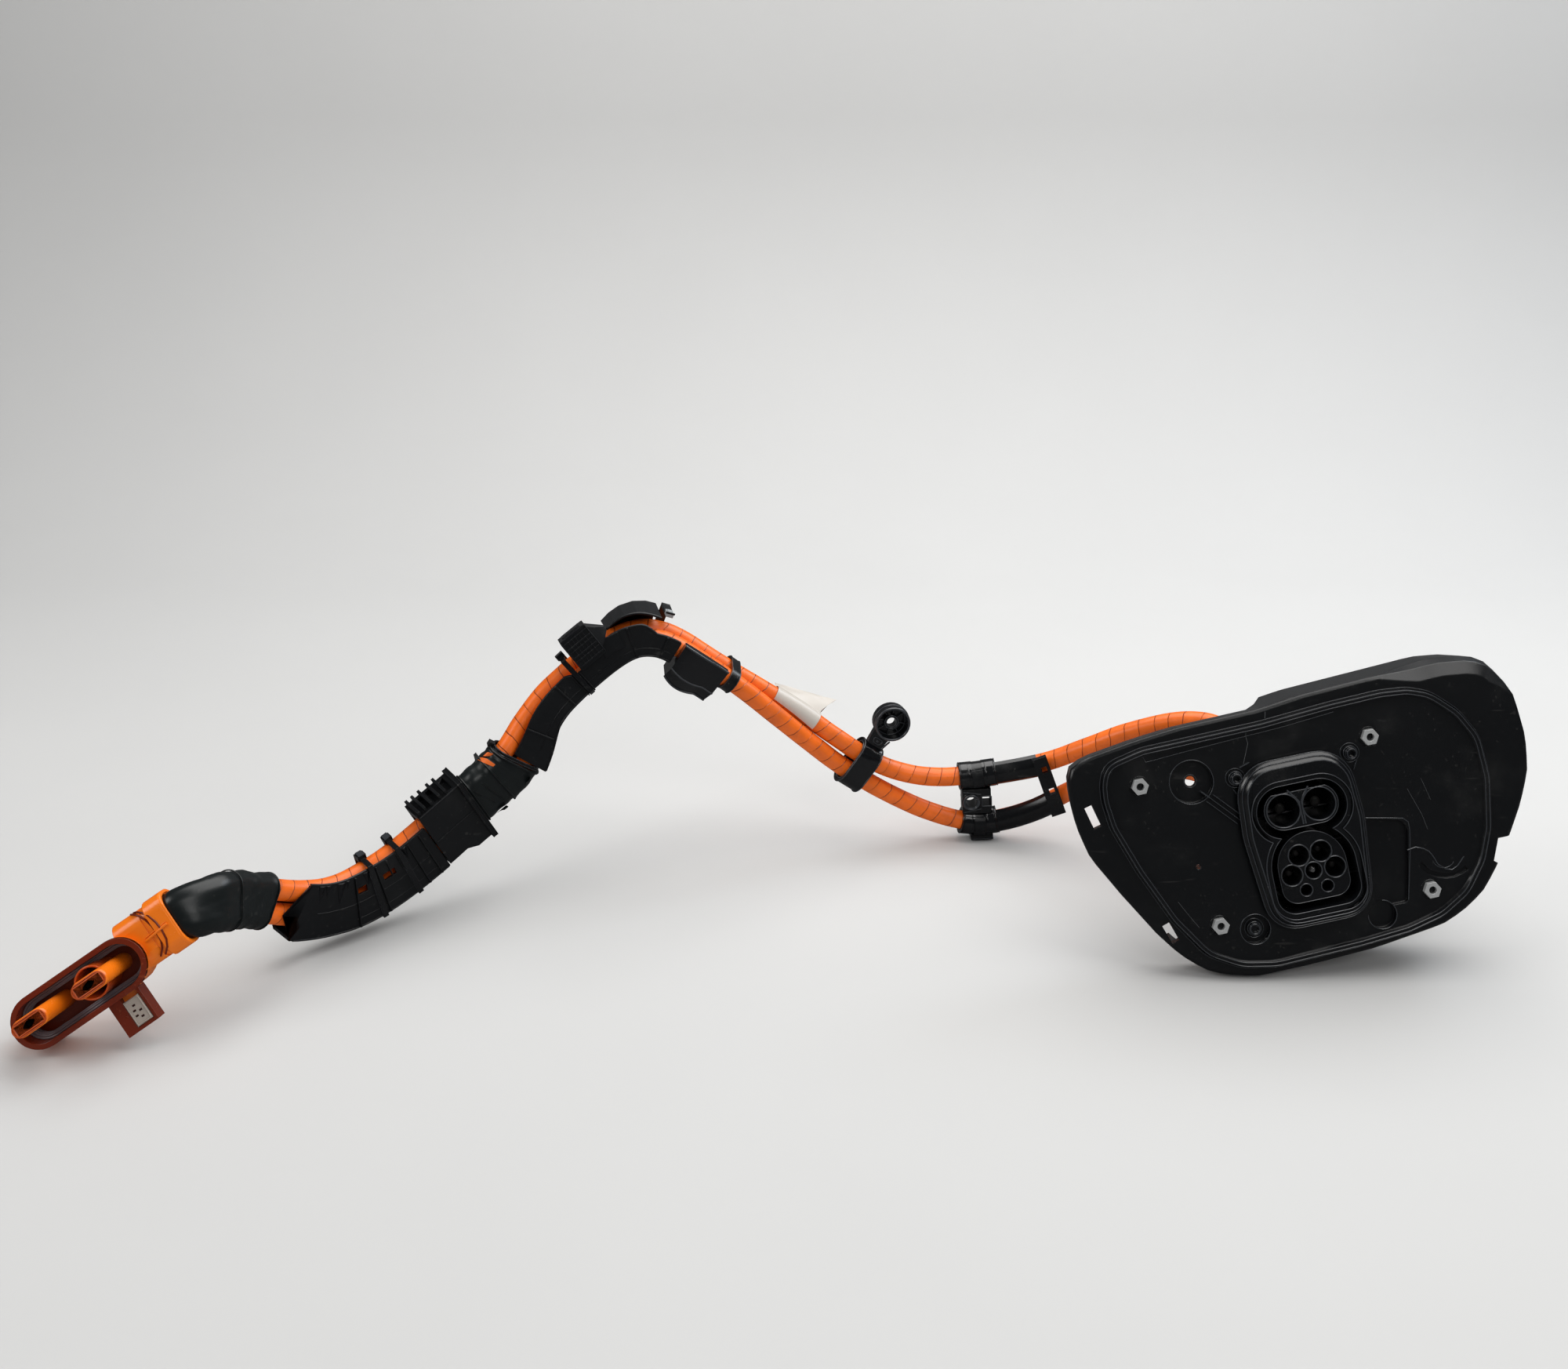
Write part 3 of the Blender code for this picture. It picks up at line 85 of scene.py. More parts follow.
# Sizes that the solids have, in millimetres.
CABLE_R = 8.5
GRIP_R = 9.3
INLET_X, INLET_Y = -3.0, 3.5
PANEL_Z = -2.0
SEAM_Z = PANEL_Z + 0.1
COLLAR_TOP, BODY_TOP = 10.0, 8.4
TWIN_TOP, PLUG_TOP = 7.4, 4.0
DC_X, DC_Y, DC_BORE = 14.0, 30.0, 12.6
AC_SPOTS = ((-8.7, -6.9), (8.7, -6.9), (-17.0, -21.0), (17.0, -21.0))
PE_SPOT = (0.0, -20.5)
PILOT_SPOTS = ((-8.4, -34.2), (8.4, -34.2))
NECK_END, NECK_Y, NECK_Z = 80.5, 5.5, -20.0
NECK_W, NECK_H = 20.4, 12.4
CONTACTS = ((-27.0, 2.5), (21.5, 1.0))
CONTACT_TOP = 26.0
RIM_LINE = (
    (-145.9, 83), (-139.4, 92.9), (-112.2, 98.5), (-18.5, 99.5), (35.8, 103), (76.2, 104),
    (97.5, 102), (114.2, 95.5), (131.8, 77.9), (143, 56.7), (144.3, 24.5), (137.3, -14.2),
    (127.5, -38), (111.5, -58.5), (89, -71.5), (61, -78), (22.6, -81), (-45.1, -83),
    (-70.9, -78), (-93.9, -64.6), (-114.2, -33.4), (-132.4, 8.1), (-145.6, 46), (-147.9, 67.8),
)
COLLAR = ((-44, 69), (44, 69), (47.5, 14), (40, -62), (-40, -62), (-47.5, 14))
COLLAR_RADII = (28, 30, 60, 24, 24, 60)

# Places along the negative cable, or along the positive one for what grips only that.
BOOT_WRAP, BOOT_END = 30.0, 103.0
DUCT = (133.0, 270.0)
BLOCK = (270.6, 316.0)
BAND_1, BAND_2 = (318.0, 344.0), (345.5, 369.5)
ARCH = (377.0, 553.0)
JUNCTION = 478.0
COVER = (500.0, 534.0)
HOOD = (556.0, 600.0)
CLIP_AT = 539.5
LABEL = (648.0, 694.0)
P_CLIP = 761.0
GUIDE_POSITIVE, GUIDE_NEGATIVE = (842.0, 876.0), (874.0, 908.0)

ROUTE_POSITIVE = (
    (-0.4847, -0.1232, 0.0814), (-0.4645, -0.1186, 0.0947), (-0.449, -0.111, 0.096),
    (-0.437, -0.098, 0.097), (-0.429, -0.08, 0.089), (-0.415, -0.054, 0.073),
    (-0.396, -0.032, 0.059), (-0.378, -0.015, 0.053), (-0.36, 0.002, 0.055),
    (-0.336, 0.021, 0.065), (-0.308, 0.043, 0.083), (-0.279, 0.064, 0.103),
    (-0.254, 0.082, 0.124), (-0.237, 0.098, 0.148), (-0.218, 0.111, 0.17),
    (-0.188, 0.125, 0.194), (-0.161, 0.135, 0.21), (-0.141, 0.141, 0.215),
    (-0.122, 0.145, 0.212), (-0.102, 0.149, 0.201), (-0.071, 0.153, 0.178),
    (-0.037, 0.158, 0.154), (-0.003, 0.161, 0.131), (0.03, 0.162, 0.106),
    (0.063, 0.164, 0.082), (0.089, 0.167, 0.069), (0.118, 0.168, 0.063),
    (0.15, 0.17, 0.063), (0.189, 0.168, 0.07), (0.224, 0.164, 0.08),
    (0.255, 0.157, 0.096), (0.289, 0.145, 0.116), (0.324, 0.133, 0.131),
    (0.349, 0.123, 0.136), (0.367, 0.116, 0.132), (0.382, 0.107, 0.124),
    (0.392, 0.094, 0.114), (0.397, 0.077, 0.11), (0.399, 0.054, 0.11),
    (0.399, 0.023, 0.118),
)
ROUTE_NEGATIVE = (
    (-0.4745, -0.1273, 0.0673), (-0.4543, -0.1228, 0.0804), (-0.4424, -0.1158, 0.0802),
    (-0.433, -0.101, 0.078), (-0.427, -0.081, 0.068), (-0.418, -0.057, 0.054),
    (-0.401, -0.035, 0.04), (-0.382, -0.016, 0.033), (-0.362, 0.001, 0.032),
    (-0.339, 0.02, 0.039), (-0.312, 0.041, 0.054), (-0.283, 0.062, 0.074),
    (-0.255, 0.08, 0.093), (-0.239, 0.088, 0.108), (-0.226, 0.091, 0.129),
    (-0.212, 0.095, 0.158), (-0.195, 0.103, 0.177), (-0.166, 0.114, 0.2),
    (-0.145, 0.121, 0.211), (-0.127, 0.125, 0.212), (-0.11, 0.129, 0.205),
    (-0.083, 0.133, 0.186), (-0.051, 0.139, 0.16), (-0.021, 0.145, 0.132),
    (0.008, 0.153, 0.104), (0.038, 0.16, 0.077), (0.072, 0.165, 0.053),
    (0.108, 0.168, 0.033), (0.141, 0.169, 0.021), (0.165, 0.17, 0.018),
    (0.19, 0.168, 0.023), (0.218, 0.165, 0.035), (0.25, 0.159, 0.056),
    (0.283, 0.15, 0.073), (0.313, 0.138, 0.086), (0.338, 0.122, 0.091),
    (0.356, 0.104, 0.093), (0.366, 0.083, 0.097), (0.372, 0.053, 0.104),
    (0.372, 0.022, 0.113),
)


def housing_axes():
    turn = Matrix.Rotation(radians(90 - HOUSING_LEAN), 3, "X")
    turn = turn @ Matrix.Rotation(radians(HOUSING_ROLL), 3, "Z")
    return Matrix.Translation(Vector(HOUSING_AT)) @ turn.to_4x4()


def connector_axes():
    turn = Matrix.Rotation(radians(CONNECTOR_HEADING), 3, "Z")
    turn = turn @ Matrix.Rotation(radians(CONNECTOR_SLOPE), 3, "Y")
    turn = turn @ Matrix.Rotation(radians(90 - CONNECTOR_LEAN), 3, "X")
    return Matrix.Translation(Vector(CONNECTOR_AT)) @ turn.to_4x4()


def moved(axes, x, y, z=0.0):
    return axes @ Matrix.Translation(Vector((x, y, z)) * MM)


HOUSING = housing_axes()
INLET = moved(HOUSING, INLET_X, INLET_Y)
CONNECTOR = connector_axes()
WORLD = Matrix.Identity(4)


def unit(v):
    return v / np.linalg.norm(v)


class Path:
    """A cable's centre line, read by its length in millimetres."""

    def __init__(self, route, count=2400):
        fixed = [np.array(p) + HARNESS_SHIFT for p in route]
        fixed = [2 * fixed[0] - fixed[1]] + fixed + [2 * fixed[-1] - fixed[-2]]
        dense = []
        for i in range(1, len(fixed) - 2):
            a, b, c, d = fixed[i - 1 : i + 3]
            for t in np.arange(0, 1, 0.05):
                cubic = (3 * b - a - 3 * c + d) * t**3
                dense.append(0.5 * (2 * b + (c - a) * t + (2 * a - 5 * b + 4 * c - d) * t * t + cubic))
        dense.append(fixed[-2])
        dense = np.array(dense)
        along = np.concatenate([[0], np.cumsum(np.linalg.norm(np.diff(dense, axis=0), axis=1))])
        spots = np.linspace(0, along[-1], count)
        self.points = np.stack([np.interp(spots, along, dense[:, k]) for k in range(3)], axis=1)
        self.length = along[-1] / MM

    def at(self, s):
        x = s / self.length * (len(self.points) - 1)
        k = int(min(max(x, 0), len(self.points) - 2))
        return self.points[k] + (self.points[k + 1] - self.points[k]) * (x - k)

    def tangent(self, s):
        return unit(self.at(s + 3) - self.at(s - 3))

    def crossing(self, point, tangent):
        """The point of this path in the plane through a point of the other one."""
        away = np.abs((self.points - point) @ tangent) + np.linalg.norm(self.points - point, axis=1)
        return self.points[int(np.argmin(away))]


POSITIVE = Path(ROUTE_POSITIVE)
NEGATIVE = Path(ROUTE_NEGATIVE)


def pair_station(s, other=POSITIVE, path=NEGATIVE):
    """Origin, tangent, front, up and spacing; up points at the other cable, front at the viewer."""
    origin = path.at(s)
    tangent = path.tangent(s)
    across = other.crossing(origin, tangent) - origin
    across -= tangent * (across @ tangent)
    up = unit(across)
    front = np.cross(tangent, up)
    if front @ TOWARD_EYE < 0:
        front = -front
    return origin, tangent, front, up, np.linalg.norm(across) / MM


def depth_station(s, path=NEGATIVE):
    """The same with front toward the viewer and up away from the arch's inside."""
    origin = path.at(s)
    tangent = path.tangent(s)
    front = unit(TOWARD_EYE - tangent * (TOWARD_EYE @ tangent))
    return origin, tangent, front, np.cross(front, tangent), 0.0


def laid(station, points):
    """Points (front, up) or (front, up, along) in millimetres of the world."""
    origin, tangent, front, up, _ = station
    made = []
    for p in points:
        along = p[2] if len(p) > 2 else 0.0
        made.append(tuple(origin / MM + front * p[0] + up * p[1] + tangent * along))
    return made


def spread(first, last, n):
    return [first + (last - first) * k / (n - 1) for k in range(n)]


def loft(loops, ring=False, caps=True):
    """A skin over loops of equal count; a ring closes from the last loop to the first."""
    n = len(loops[0])
    points = [tuple(map(float, p)) for loop in loops for p in loop]
    faces = []
    for k in range(len(loops) if ring else len(loops) - 1):
        a = k * n
        b = (k + 1) % len(loops) * n
        for i in range(n):
            j = (i + 1) % n
            faces.append((a + i, a + j, b + j, b + i))
    if not ring and caps:
        faces.append(tuple(range(n))[::-1])
        faces.append(tuple(range((len(loops) - 1) * n, len(loops) * n)))
    return points, faces


def joined(*shapes):
    points, faces = [], []
    for more_points, more_faces in shapes:
        faces += [tuple(i + len(points) for i in face) for face in more_faces]
        points += more_points
    return points, faces


def arc(x, y, r, start, end, n):
    angles = [radians(start + (end - start) * k / n) for k in range(n + 1)]
    return [(x + r * cos(a), y + r * sin(a)) for a in angles]


def circle(x, y, r, n=40):
    return arc(x, y, r, 0, 360 - 360 / n, n - 1)


def raised(outline, z):
    return [(float(p[0]), float(p[1]), z) for p in outline]


def box_outline(x0, y0, x1, y1):
    return [(x0, y0), (x1, y0), (x1, y1), (x0, y1)]


def obround(half, r, n=12):
    return arc(half - r, 0, r, -90, 90, n) + arc(r - half, 0, r, 90, 270, n)


def shifted(outline, x, y):
    return [(p[0] + x, p[1] + y) for p in outline]


def rounded(outline, radius, steps=5):
    """The outline with each corner turned into an arc."""
    made = []
    n = len(outline)
    for k in range(n):
        before, here, after = (np.array(outline[(k + j) % n], float) for j in (-1, 0, 1))
        r = radius[k] if isinstance(radius, (list, tuple)) else radius
        a, b = unit(before - here), unit(after - here)
        half = np.arccos(np.clip(a @ b, -1, 1)) / 2
        reach = r / np.tan(half)
        limit = 0.48 * min(np.linalg.norm(before - here), np.linalg.norm(after - here))
        if reach > limit:
            reach = limit
            r = reach * np.tan(half)
        centre = here + unit(a + b) * r / np.sin(half)
        first, last = here + a * reach - centre, here + b * reach - centre
        start = np.arctan2(first[1], first[0])
        turn = (np.arctan2(last[1], last[0]) - start + pi) % (2 * pi) - pi
        for j in range(steps + 1):
            angle = start + turn * j / steps
            made.append((centre[0] + r * cos(angle), centre[1] + r * sin(angle)))
    return made


def resample(outline, count):
    points = np.array(list(outline) + [outline[0]], float)
    along = np.concatenate([[0], np.cumsum(np.linalg.norm(np.diff(points, axis=0), axis=1))])
    spots = np.linspace(0, along[-1], count, endpoint=False)
    return np.stack([np.interp(spots, along, points[:, k]) for k in range(2)], axis=1)


def offset(outline, distance):
    """The outline moved outwards by the distance."""
    points = np.array(outline, float)
    ahead = np.roll(points, -1, axis=0) - points
    behind = points - np.roll(points, 1, axis=0)
    ahead /= np.linalg.norm(ahead, axis=1)[:, None]
    behind /= np.linalg.norm(behind, axis=1)[:, None]
    tangent = ahead + behind
    tangent /= np.linalg.norm(tangent, axis=1)[:, None]
    normal = np.stack([tangent[:, 1], -tangent[:, 0]], axis=1)
    area = np.sum(points[:, 0] * np.roll(points[:, 1], -1) - np.roll(points[:, 0], -1) * points[:, 1])
    return points + normal * np.sign(area) * distance


def prism(outline, z0, z1):
    return loft([raised(outline, z0), raised(outline, z1)])


def band(outer, inner, z0, z1):
    rows = ((outer, z0), (outer, z1), (inner, z1), (inner, z0))
    return loft([raised(outline, z) for outline, z in rows], True)


def bead(line, radius, closed=False, sides=8):
    """A round bead along a line of points in millimetres."""
    points = [np.array(p, float) for p in line]
    n = len(points)
    loops = []
    side = None
    for k, p in enumerate(points):
        before = points[k - 1] if closed or k else p
        after = points[(k + 1) % n] if closed or k < n - 1 else p
        t = unit(after - before)
        if side is None:
            side = np.cross(t, (0.0, 0.0, 1.0))
            if np.linalg.norm(side) < 0.2:
                side = np.cross(t, (1.0, 0.0, 0.0))
        side = unit(side - t * (side @ t))
        other = np.cross(t, side)
        loops.append([
            p + (side * cos(a) + other * sin(a)) * radius
            for a in (tau * i / sides for i in range(sides))])
    return loft(loops, closed)


def hoop(outline, z, radius, sides=8):
    """A bead round a closed outline of (x, y) points at one height."""
    return bead(raised(outline, z), radius, True, sides)


def hoop_at(station, outline, radius, sides=8):
    """A bead round a closed outline in a station's frame."""
    return bead(laid(station, outline), radius, True, sides)


def ridge(line, width, low, high, crown=0.6):
    """A raised rib with sloping sides along a line of (x, y) points."""
    points = [np.array(p, float) for p in line]
    loops = []
    for k, p in enumerate(points):
        t = unit(points[min(k + 1, len(points) - 1)] - points[max(k - 1, 0)])
        across = np.array((-t[1], t[0])) * width / 2
        corners = ((-1, low), (1, low), (crown, high), (-crown, high))
        loops.append([(*(p + across * w), z) for w, z in corners])
    return loft(loops)


def ring(x, y, z, radius, thick, first=0, last=360):
    if last - first >= 360:
        return hoop(circle(x, y, radius, 48), z, thick)
    return bead(raised(arc(x, y, radius, first, last, 36), z), thick)


def mouth(grow=0.0):
    """Two-lobed outline of the inlet's opening, with every edge moved outwards by grow."""
    top, low, corner = 20.0 + grow, 32.6 + grow, 14.0 + grow
    step = np.array((-15.0, -45.5))
    gap = np.linalg.norm(step)
    lean = np.arccos((gap**2 + top**2 - low**2) / (2 * gap * top))
    turn = np.degrees(np.arctan2(step[1], step[0]) + lean)
    meet = (15 + top * cos(radians(turn)), 29 + top * sin(radians(turn)))
    start = np.degrees(np.arctan2(meet[1] + 16.5, meet[0]))
    right = arc(15, 29, top, 90, turn, 26) + arc(0, -16.5, low, start, 0, 16)[1:]
    right += arc(18.6, -35.3, corner, 0, -90, 14)
    left = [(-x, y) for x, y in right[::-1]]
    return right + left


def pair_ring(r, spacing, n=15):
    """Obround outline round both cables, its first centre at the origin."""
    lower = [(r * cos(a), r * sin(a)) for a in np.linspace(pi, 2 * pi, n)]
    upper = [(r * cos(a), spacing + r * sin(a)) for a in np.linspace(0, pi, n)]
    return lower + upper


def by_angle(outline, centre, count):
    """Points of a convex outline in evenly turned directions from a centre."""
    points = np.array(list(outline) + [outline[0]], float) - np.array(centre)
    dense = np.concatenate([np.linspace(points[k], points[k + 1], 12, False) for k in range(len(points) - 1)])
    angles = np.arctan2(dense[:, 1], dense[:, 0])
    made = []
    for k in range(count):
        away = np.abs((angles - tau * k / count + pi) % tau - pi)
        p = dense[int(np.argmin(away))]
        made.append((p[0] + centre[0], p[1] + centre[1]))
    return made


def piece(name, shape, axes=WORLD, body="root", slot=None, finish=None, sharp=35, bevel=0.0, nodes=()):
    """A new mesh from one shape or a list of them in millimetres, placed, shaded and riding on a body."""
    mesh = bpy.data.meshes.new(name)
    points, faces = joined(*shape) if isinstance(shape, list) else shape
    mesh.from_pydata([tuple(axes @ (Vector(p) * MM)) for p in points], [], faces)
    obj = bpy.data.objects.new(name, mesh)
    bpy.context.scene.collection.objects.link(obj)
    work = bmesh.new()
    work.from_mesh(mesh)
    bmesh.ops.recalc_face_normals(work, faces=work.faces)
    work.to_mesh(mesh)
    work.free()
    return finished(obj, body, slot, finish, sharp, bevel, nodes)


def finished(obj, body, slot, finish, sharp, bevel, nodes):
    mesh = obj.data
    mesh.shade_smooth()
    mesh.set_sharp_from_angle(angle=radians(sharp))
    if bevel:
        rounding = obj.modifiers.new("rounding", "BEVEL")
        rounding.width = bevel * MM
        rounding.segments = 2
        rounding.limit_method = "ANGLE"
        rounding.angle_limit = radians(sharp)
        rounding.use_clamp_overlap = True
    weighted = obj.modifiers.new("flat_faces", "WEIGHTED_NORMAL")
    weighted.keep_sharp = True
    mesh.materials.clear()
    mesh.materials.append(FINISH[finish])
    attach(obj, body)
    slot or SLOT_FOR[finish]
    if nodes:
        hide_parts(*nodes)
    return obj


def refined(node, finish, body="root", sharp=30, bevel=0.0):
    """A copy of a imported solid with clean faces, softened edges and its own finish."""
    source = frame["nodes"][node]
    mesh = bpy.data.meshes.new(node + "_finished")
    work = bmesh.new()
    work.from_mesh(source.data)
    bmesh.ops.remove_doubles(work, verts=work.verts, dist=1e-5)
    bmesh.ops.dissolve_limit(work, angle_limit=radians(0.6), verts=work.verts, edges=work.edges)
    work.to_mesh(mesh)
    work.free()
    obj = bpy.data.objects.new(node + "_finished", mesh)
    bpy.context.scene.collection.objects.link(obj)
    return finished(obj, body, SLOT_OF[node], finish, sharp, bevel, [node])


def refined_all(names, finish, **more):
    for node in names.split():
        refined(node, finish, **more)


SLOT_OF = {s["node"]: s["material_slot"] for s in frame["record"]["subparts"]}
SLOT_FOR = {
    finish: slot
    for slot, keys in (
        ("black_plastic", "black panel gloss edge hairline"),
        ("duct_plastic", "duct"),
        ("dark_rubber", "rubber sleeve"),
        ("amber_plastic", "amber deep_amber tip well"),
        ("plain_steel", "steel"),
        ("contact_metal", "contact dim"),
        ("pale_plastic", "pale grey"),
        ("label_film", "film"),
        ("grey_rubber", "seal"),
        ("cable_sheath", "tape shred"),
    )
    for finish in keys.split()
}
FINISH = {}


class Finish:
    """A node material, grown from one Principled shader by small named steps."""

    def __init__(self, name, colour, roughness, metallic=0.0, specular=0.5):
        self.material = bpy.data.materials.new(name)
        self.material.use_nodes = True
        self.tree = self.material.node_tree
        self.shader = self.tree.nodes["Principled BSDF"]
        self.material.diffuse_color = (*colour, 1.0)
        self.shader.inputs["Metallic"].default_value = metallic
        self.shader.inputs["Roughness"].default_value = roughness
        self.shader.inputs["Specular IOR Level"].default_value = specular
        self.shader.inputs["Base Color"].default_value = (*colour, 1.0)
        self.colour = None
        self.plain = (*colour, 1.0)
        self.normal = None
        self.coords = self.add("ShaderNodeTexCoord")

    def add(self, kind, **sockets):
        node = self.tree.nodes.new(kind)
        for key, value in sockets.items():
            node.inputs[key].default_value = value
        return node

    def link(self, a, b):
        self.tree.links.new(a, b)

    def field(self, scale, detail=3.0, rough=0.55, stretch=None):
        """Noise over the piece, scale in features per metre."""
        out = self.coords.outputs["Object"]
        if stretch:
            turn = self.add("ShaderNodeMapping", Scale=stretch)
            turn.inputs["Rotation"].default_value = (0.4, 0.7, 0.3)
            self.link(out, turn.inputs["Vector"])
            out = turn.outputs["Vector"]
        cloud = self.add("ShaderNodeTexNoise", Scale=scale, Detail=detail, Roughness=rough)
        self.link(out, cloud.inputs["Vector"])
        return cloud.outputs["Fac"]

    def levels(self, value, low, high, first=0.0, last=1.0):
        step = self.add("ShaderNodeMapRange")
        step.interpolation_type = "SMOOTHSTEP"
        step.inputs["From Min"].default_value = low
        step.inputs["From Max"].default_value = high
        step.inputs["To Min"].default_value = first
        step.inputs["To Max"].default_value = last
        self.link(value, step.inputs["Value"])
        return step.outputs["Result"]

    def maths(self, kind, a, b=None):
        step = self.add("ShaderNodeMath")
        step.operation = kind
        for k, v in enumerate((a, b)):
            if v is None:
                continue
            if isinstance(v, (int, float)):
                step.inputs[k].default_value = v
            else:
                self.link(v, step.inputs[k])
        return step.outputs["Value"]

    def tint(self, amount, colour):
        """Mixes a colour over what is there, as much as the amount says."""
        mix = self.add("ShaderNodeMix")
        mix.data_type = "RGBA"
        mix.inputs["B"].default_value = (*colour, 1.0)
        mix.inputs["A"].default_value = self.plain
        if self.colour is not None:
            self.link(self.colour, mix.inputs["A"])
        self.link(amount, mix.inputs["Factor"])
        self.colour = mix.outputs["Result"]
        self.link(self.colour, self.shader.inputs["Base Color"])
        return self

    def gloss(self, amount, low, high):
        out = self.levels(amount, 0.0, 1.0, low, high)
        self.link(out, self.shader.inputs["Roughness"])
        return self

    def bump(self, height, distance, strength=1.0):
        """Relief from a height in 0..1, distance in millimetres."""
        relief = self.add("ShaderNodeBump", Strength=strength, Distance=distance * MM)
        self.link(height, relief.inputs["Height"])
        if self.normal is not None:
            self.link(self.normal, relief.inputs["Normal"])
        self.normal = relief.outputs["Normal"]
        self.link(self.normal, self.shader.inputs["Normal"])
        return self

    def softened(self, radius):
        """Rounds the edges in the shading, radius in millimetres."""
        edge = self.add("ShaderNodeBevel", Radius=radius * MM)
        edge.samples = 6
        self.normal = edge.outputs["Normal"]
        self.link(self.normal, self.shader.inputs["Normal"])
        return self


def moulded(name, colour, roughness, dust=0.3, grain=0.05, dust_colour=(0.16, 0.155, 0.14), edge=0.5, **more):
    """Moulded plastic or rubber: fine grain, dust in patches, short scratches, specks and uneven gloss."""
    f = Finish(name, colour, roughness, **more).softened(edge)
    patches = f.levels(f.field(22.0, 5.0, 0.6), 0.5, 0.8)
    specks = f.levels(f.field(1100.0, 2.0), 0.7, 0.76)
    rubbed = f.levels(f.field(70.0, 4.0, 0.7, (1.0, 0.35, 3.0)), 0.6, 0.74)
    scratch = f.levels(f.field(330.0, 1.0, 0.4, (1.0, 0.05, 0.9)), 0.7, 0.73)
    cross = f.levels(f.field(260.0, 1.0, 0.4, (0.07, 1.0, 0.6)), 0.71, 0.74)
    marks = f.maths("MULTIPLY", f.maths("MAXIMUM", scratch, cross), f.levels(f.field(31.0, 2.0), 0.42, 0.62))
    f.tint(f.maths("MULTIPLY", patches, dust * 0.3), dust_colour)
    f.tint(f.maths("MULTIPLY", specks, dust * 0.7), tuple(min(1.0, c * 1.8) for c in dust_colour))
    f.tint(f.maths("MULTIPLY", rubbed, dust * 0.22), dust_colour)
    f.tint(f.maths("MULTIPLY", marks, dust * 0.5), tuple(min(1.0, c * 1.5) for c in dust_colour))
    worn = f.maths("ADD", f.maths("MULTIPLY", patches, 0.5), f.maths("MULTIPLY", rubbed, 0.5))
    f.gloss(worn, roughness - 0.05, roughness + 0.2)
    f.bump(f.field(2600.0, 2.0, 0.6), grain)
    f.bump(marks, 0.03)
    return f


def taped(name, colour, dark, pitch):
    """Cable tape wound on in a long screw line; the map runs along and round the cable."""
    f = Finish(name, colour, 0.36, specular=0.45)
    split = f.add("ShaderNodeSeparateXYZ")
    f.link(f.coords.outputs["UV"], split.inputs["Vector"])
    wander = f.maths("MULTIPLY", f.maths("SUBTRACT", f.field(16.0, 3.0), 0.5), 1.1)
    lean = f.maths("MULTIPLY", f.maths("SUBTRACT", f.field(70.0, 2.0), 0.5), 0.22)
    turns = f.maths("ADD", f.maths("MULTIPLY", split.outputs["X"], 1.0 / pitch), split.outputs["Y"])
    wound = f.maths("FRACT", f.maths("ADD", f.maths("ADD", turns, wander), lean))
    seam = f.maths("SUBTRACT", 1.0, f.levels(wound, 0.02, 0.09))
    seam = f.maths("MULTIPLY", seam, f.levels(f.field(48.0, 3.0), 0.32, 0.52, 0.15, 1.0))
    grime = f.levels(f.field(30.0, 5.0, 0.65), 0.54, 0.82)
    crease_shade = f.levels(f.field(240.0, 3.0, 0.6, (0.5, 2.2, 0.5)), 0.62, 0.76)
    f.tint(f.levels(f.field(55.0, 3.0), 0.35, 0.7), tuple(c * 0.86 for c in colour))
    f.tint(f.maths("MULTIPLY", f.levels(wound, 0.0, 0.5, 0.45, 0.0), 0.6), tuple(c * 0.68 for c in colour))
    # Darker along stretched streaks: painted shade in the tape's creases.
    f.tint(f.maths("MULTIPLY", crease_shade, 0.3), tuple(c * 0.6 for c in colour))
    f.tint(f.maths("MULTIPLY", grime, 0.3), dark)
    f.tint(f.maths("MULTIPLY", seam, 0.85), dark)
    f.gloss(grime, 0.34, 0.6)
    f.bump(f.maths("ADD", f.levels(wound, 0.0, 0.06), f.maths("MULTIPLY", f.field(420.0, 3.0), 0.25)), 0.4)
    f.bump(f.field(1500.0, 2.0), 0.05)
    return f


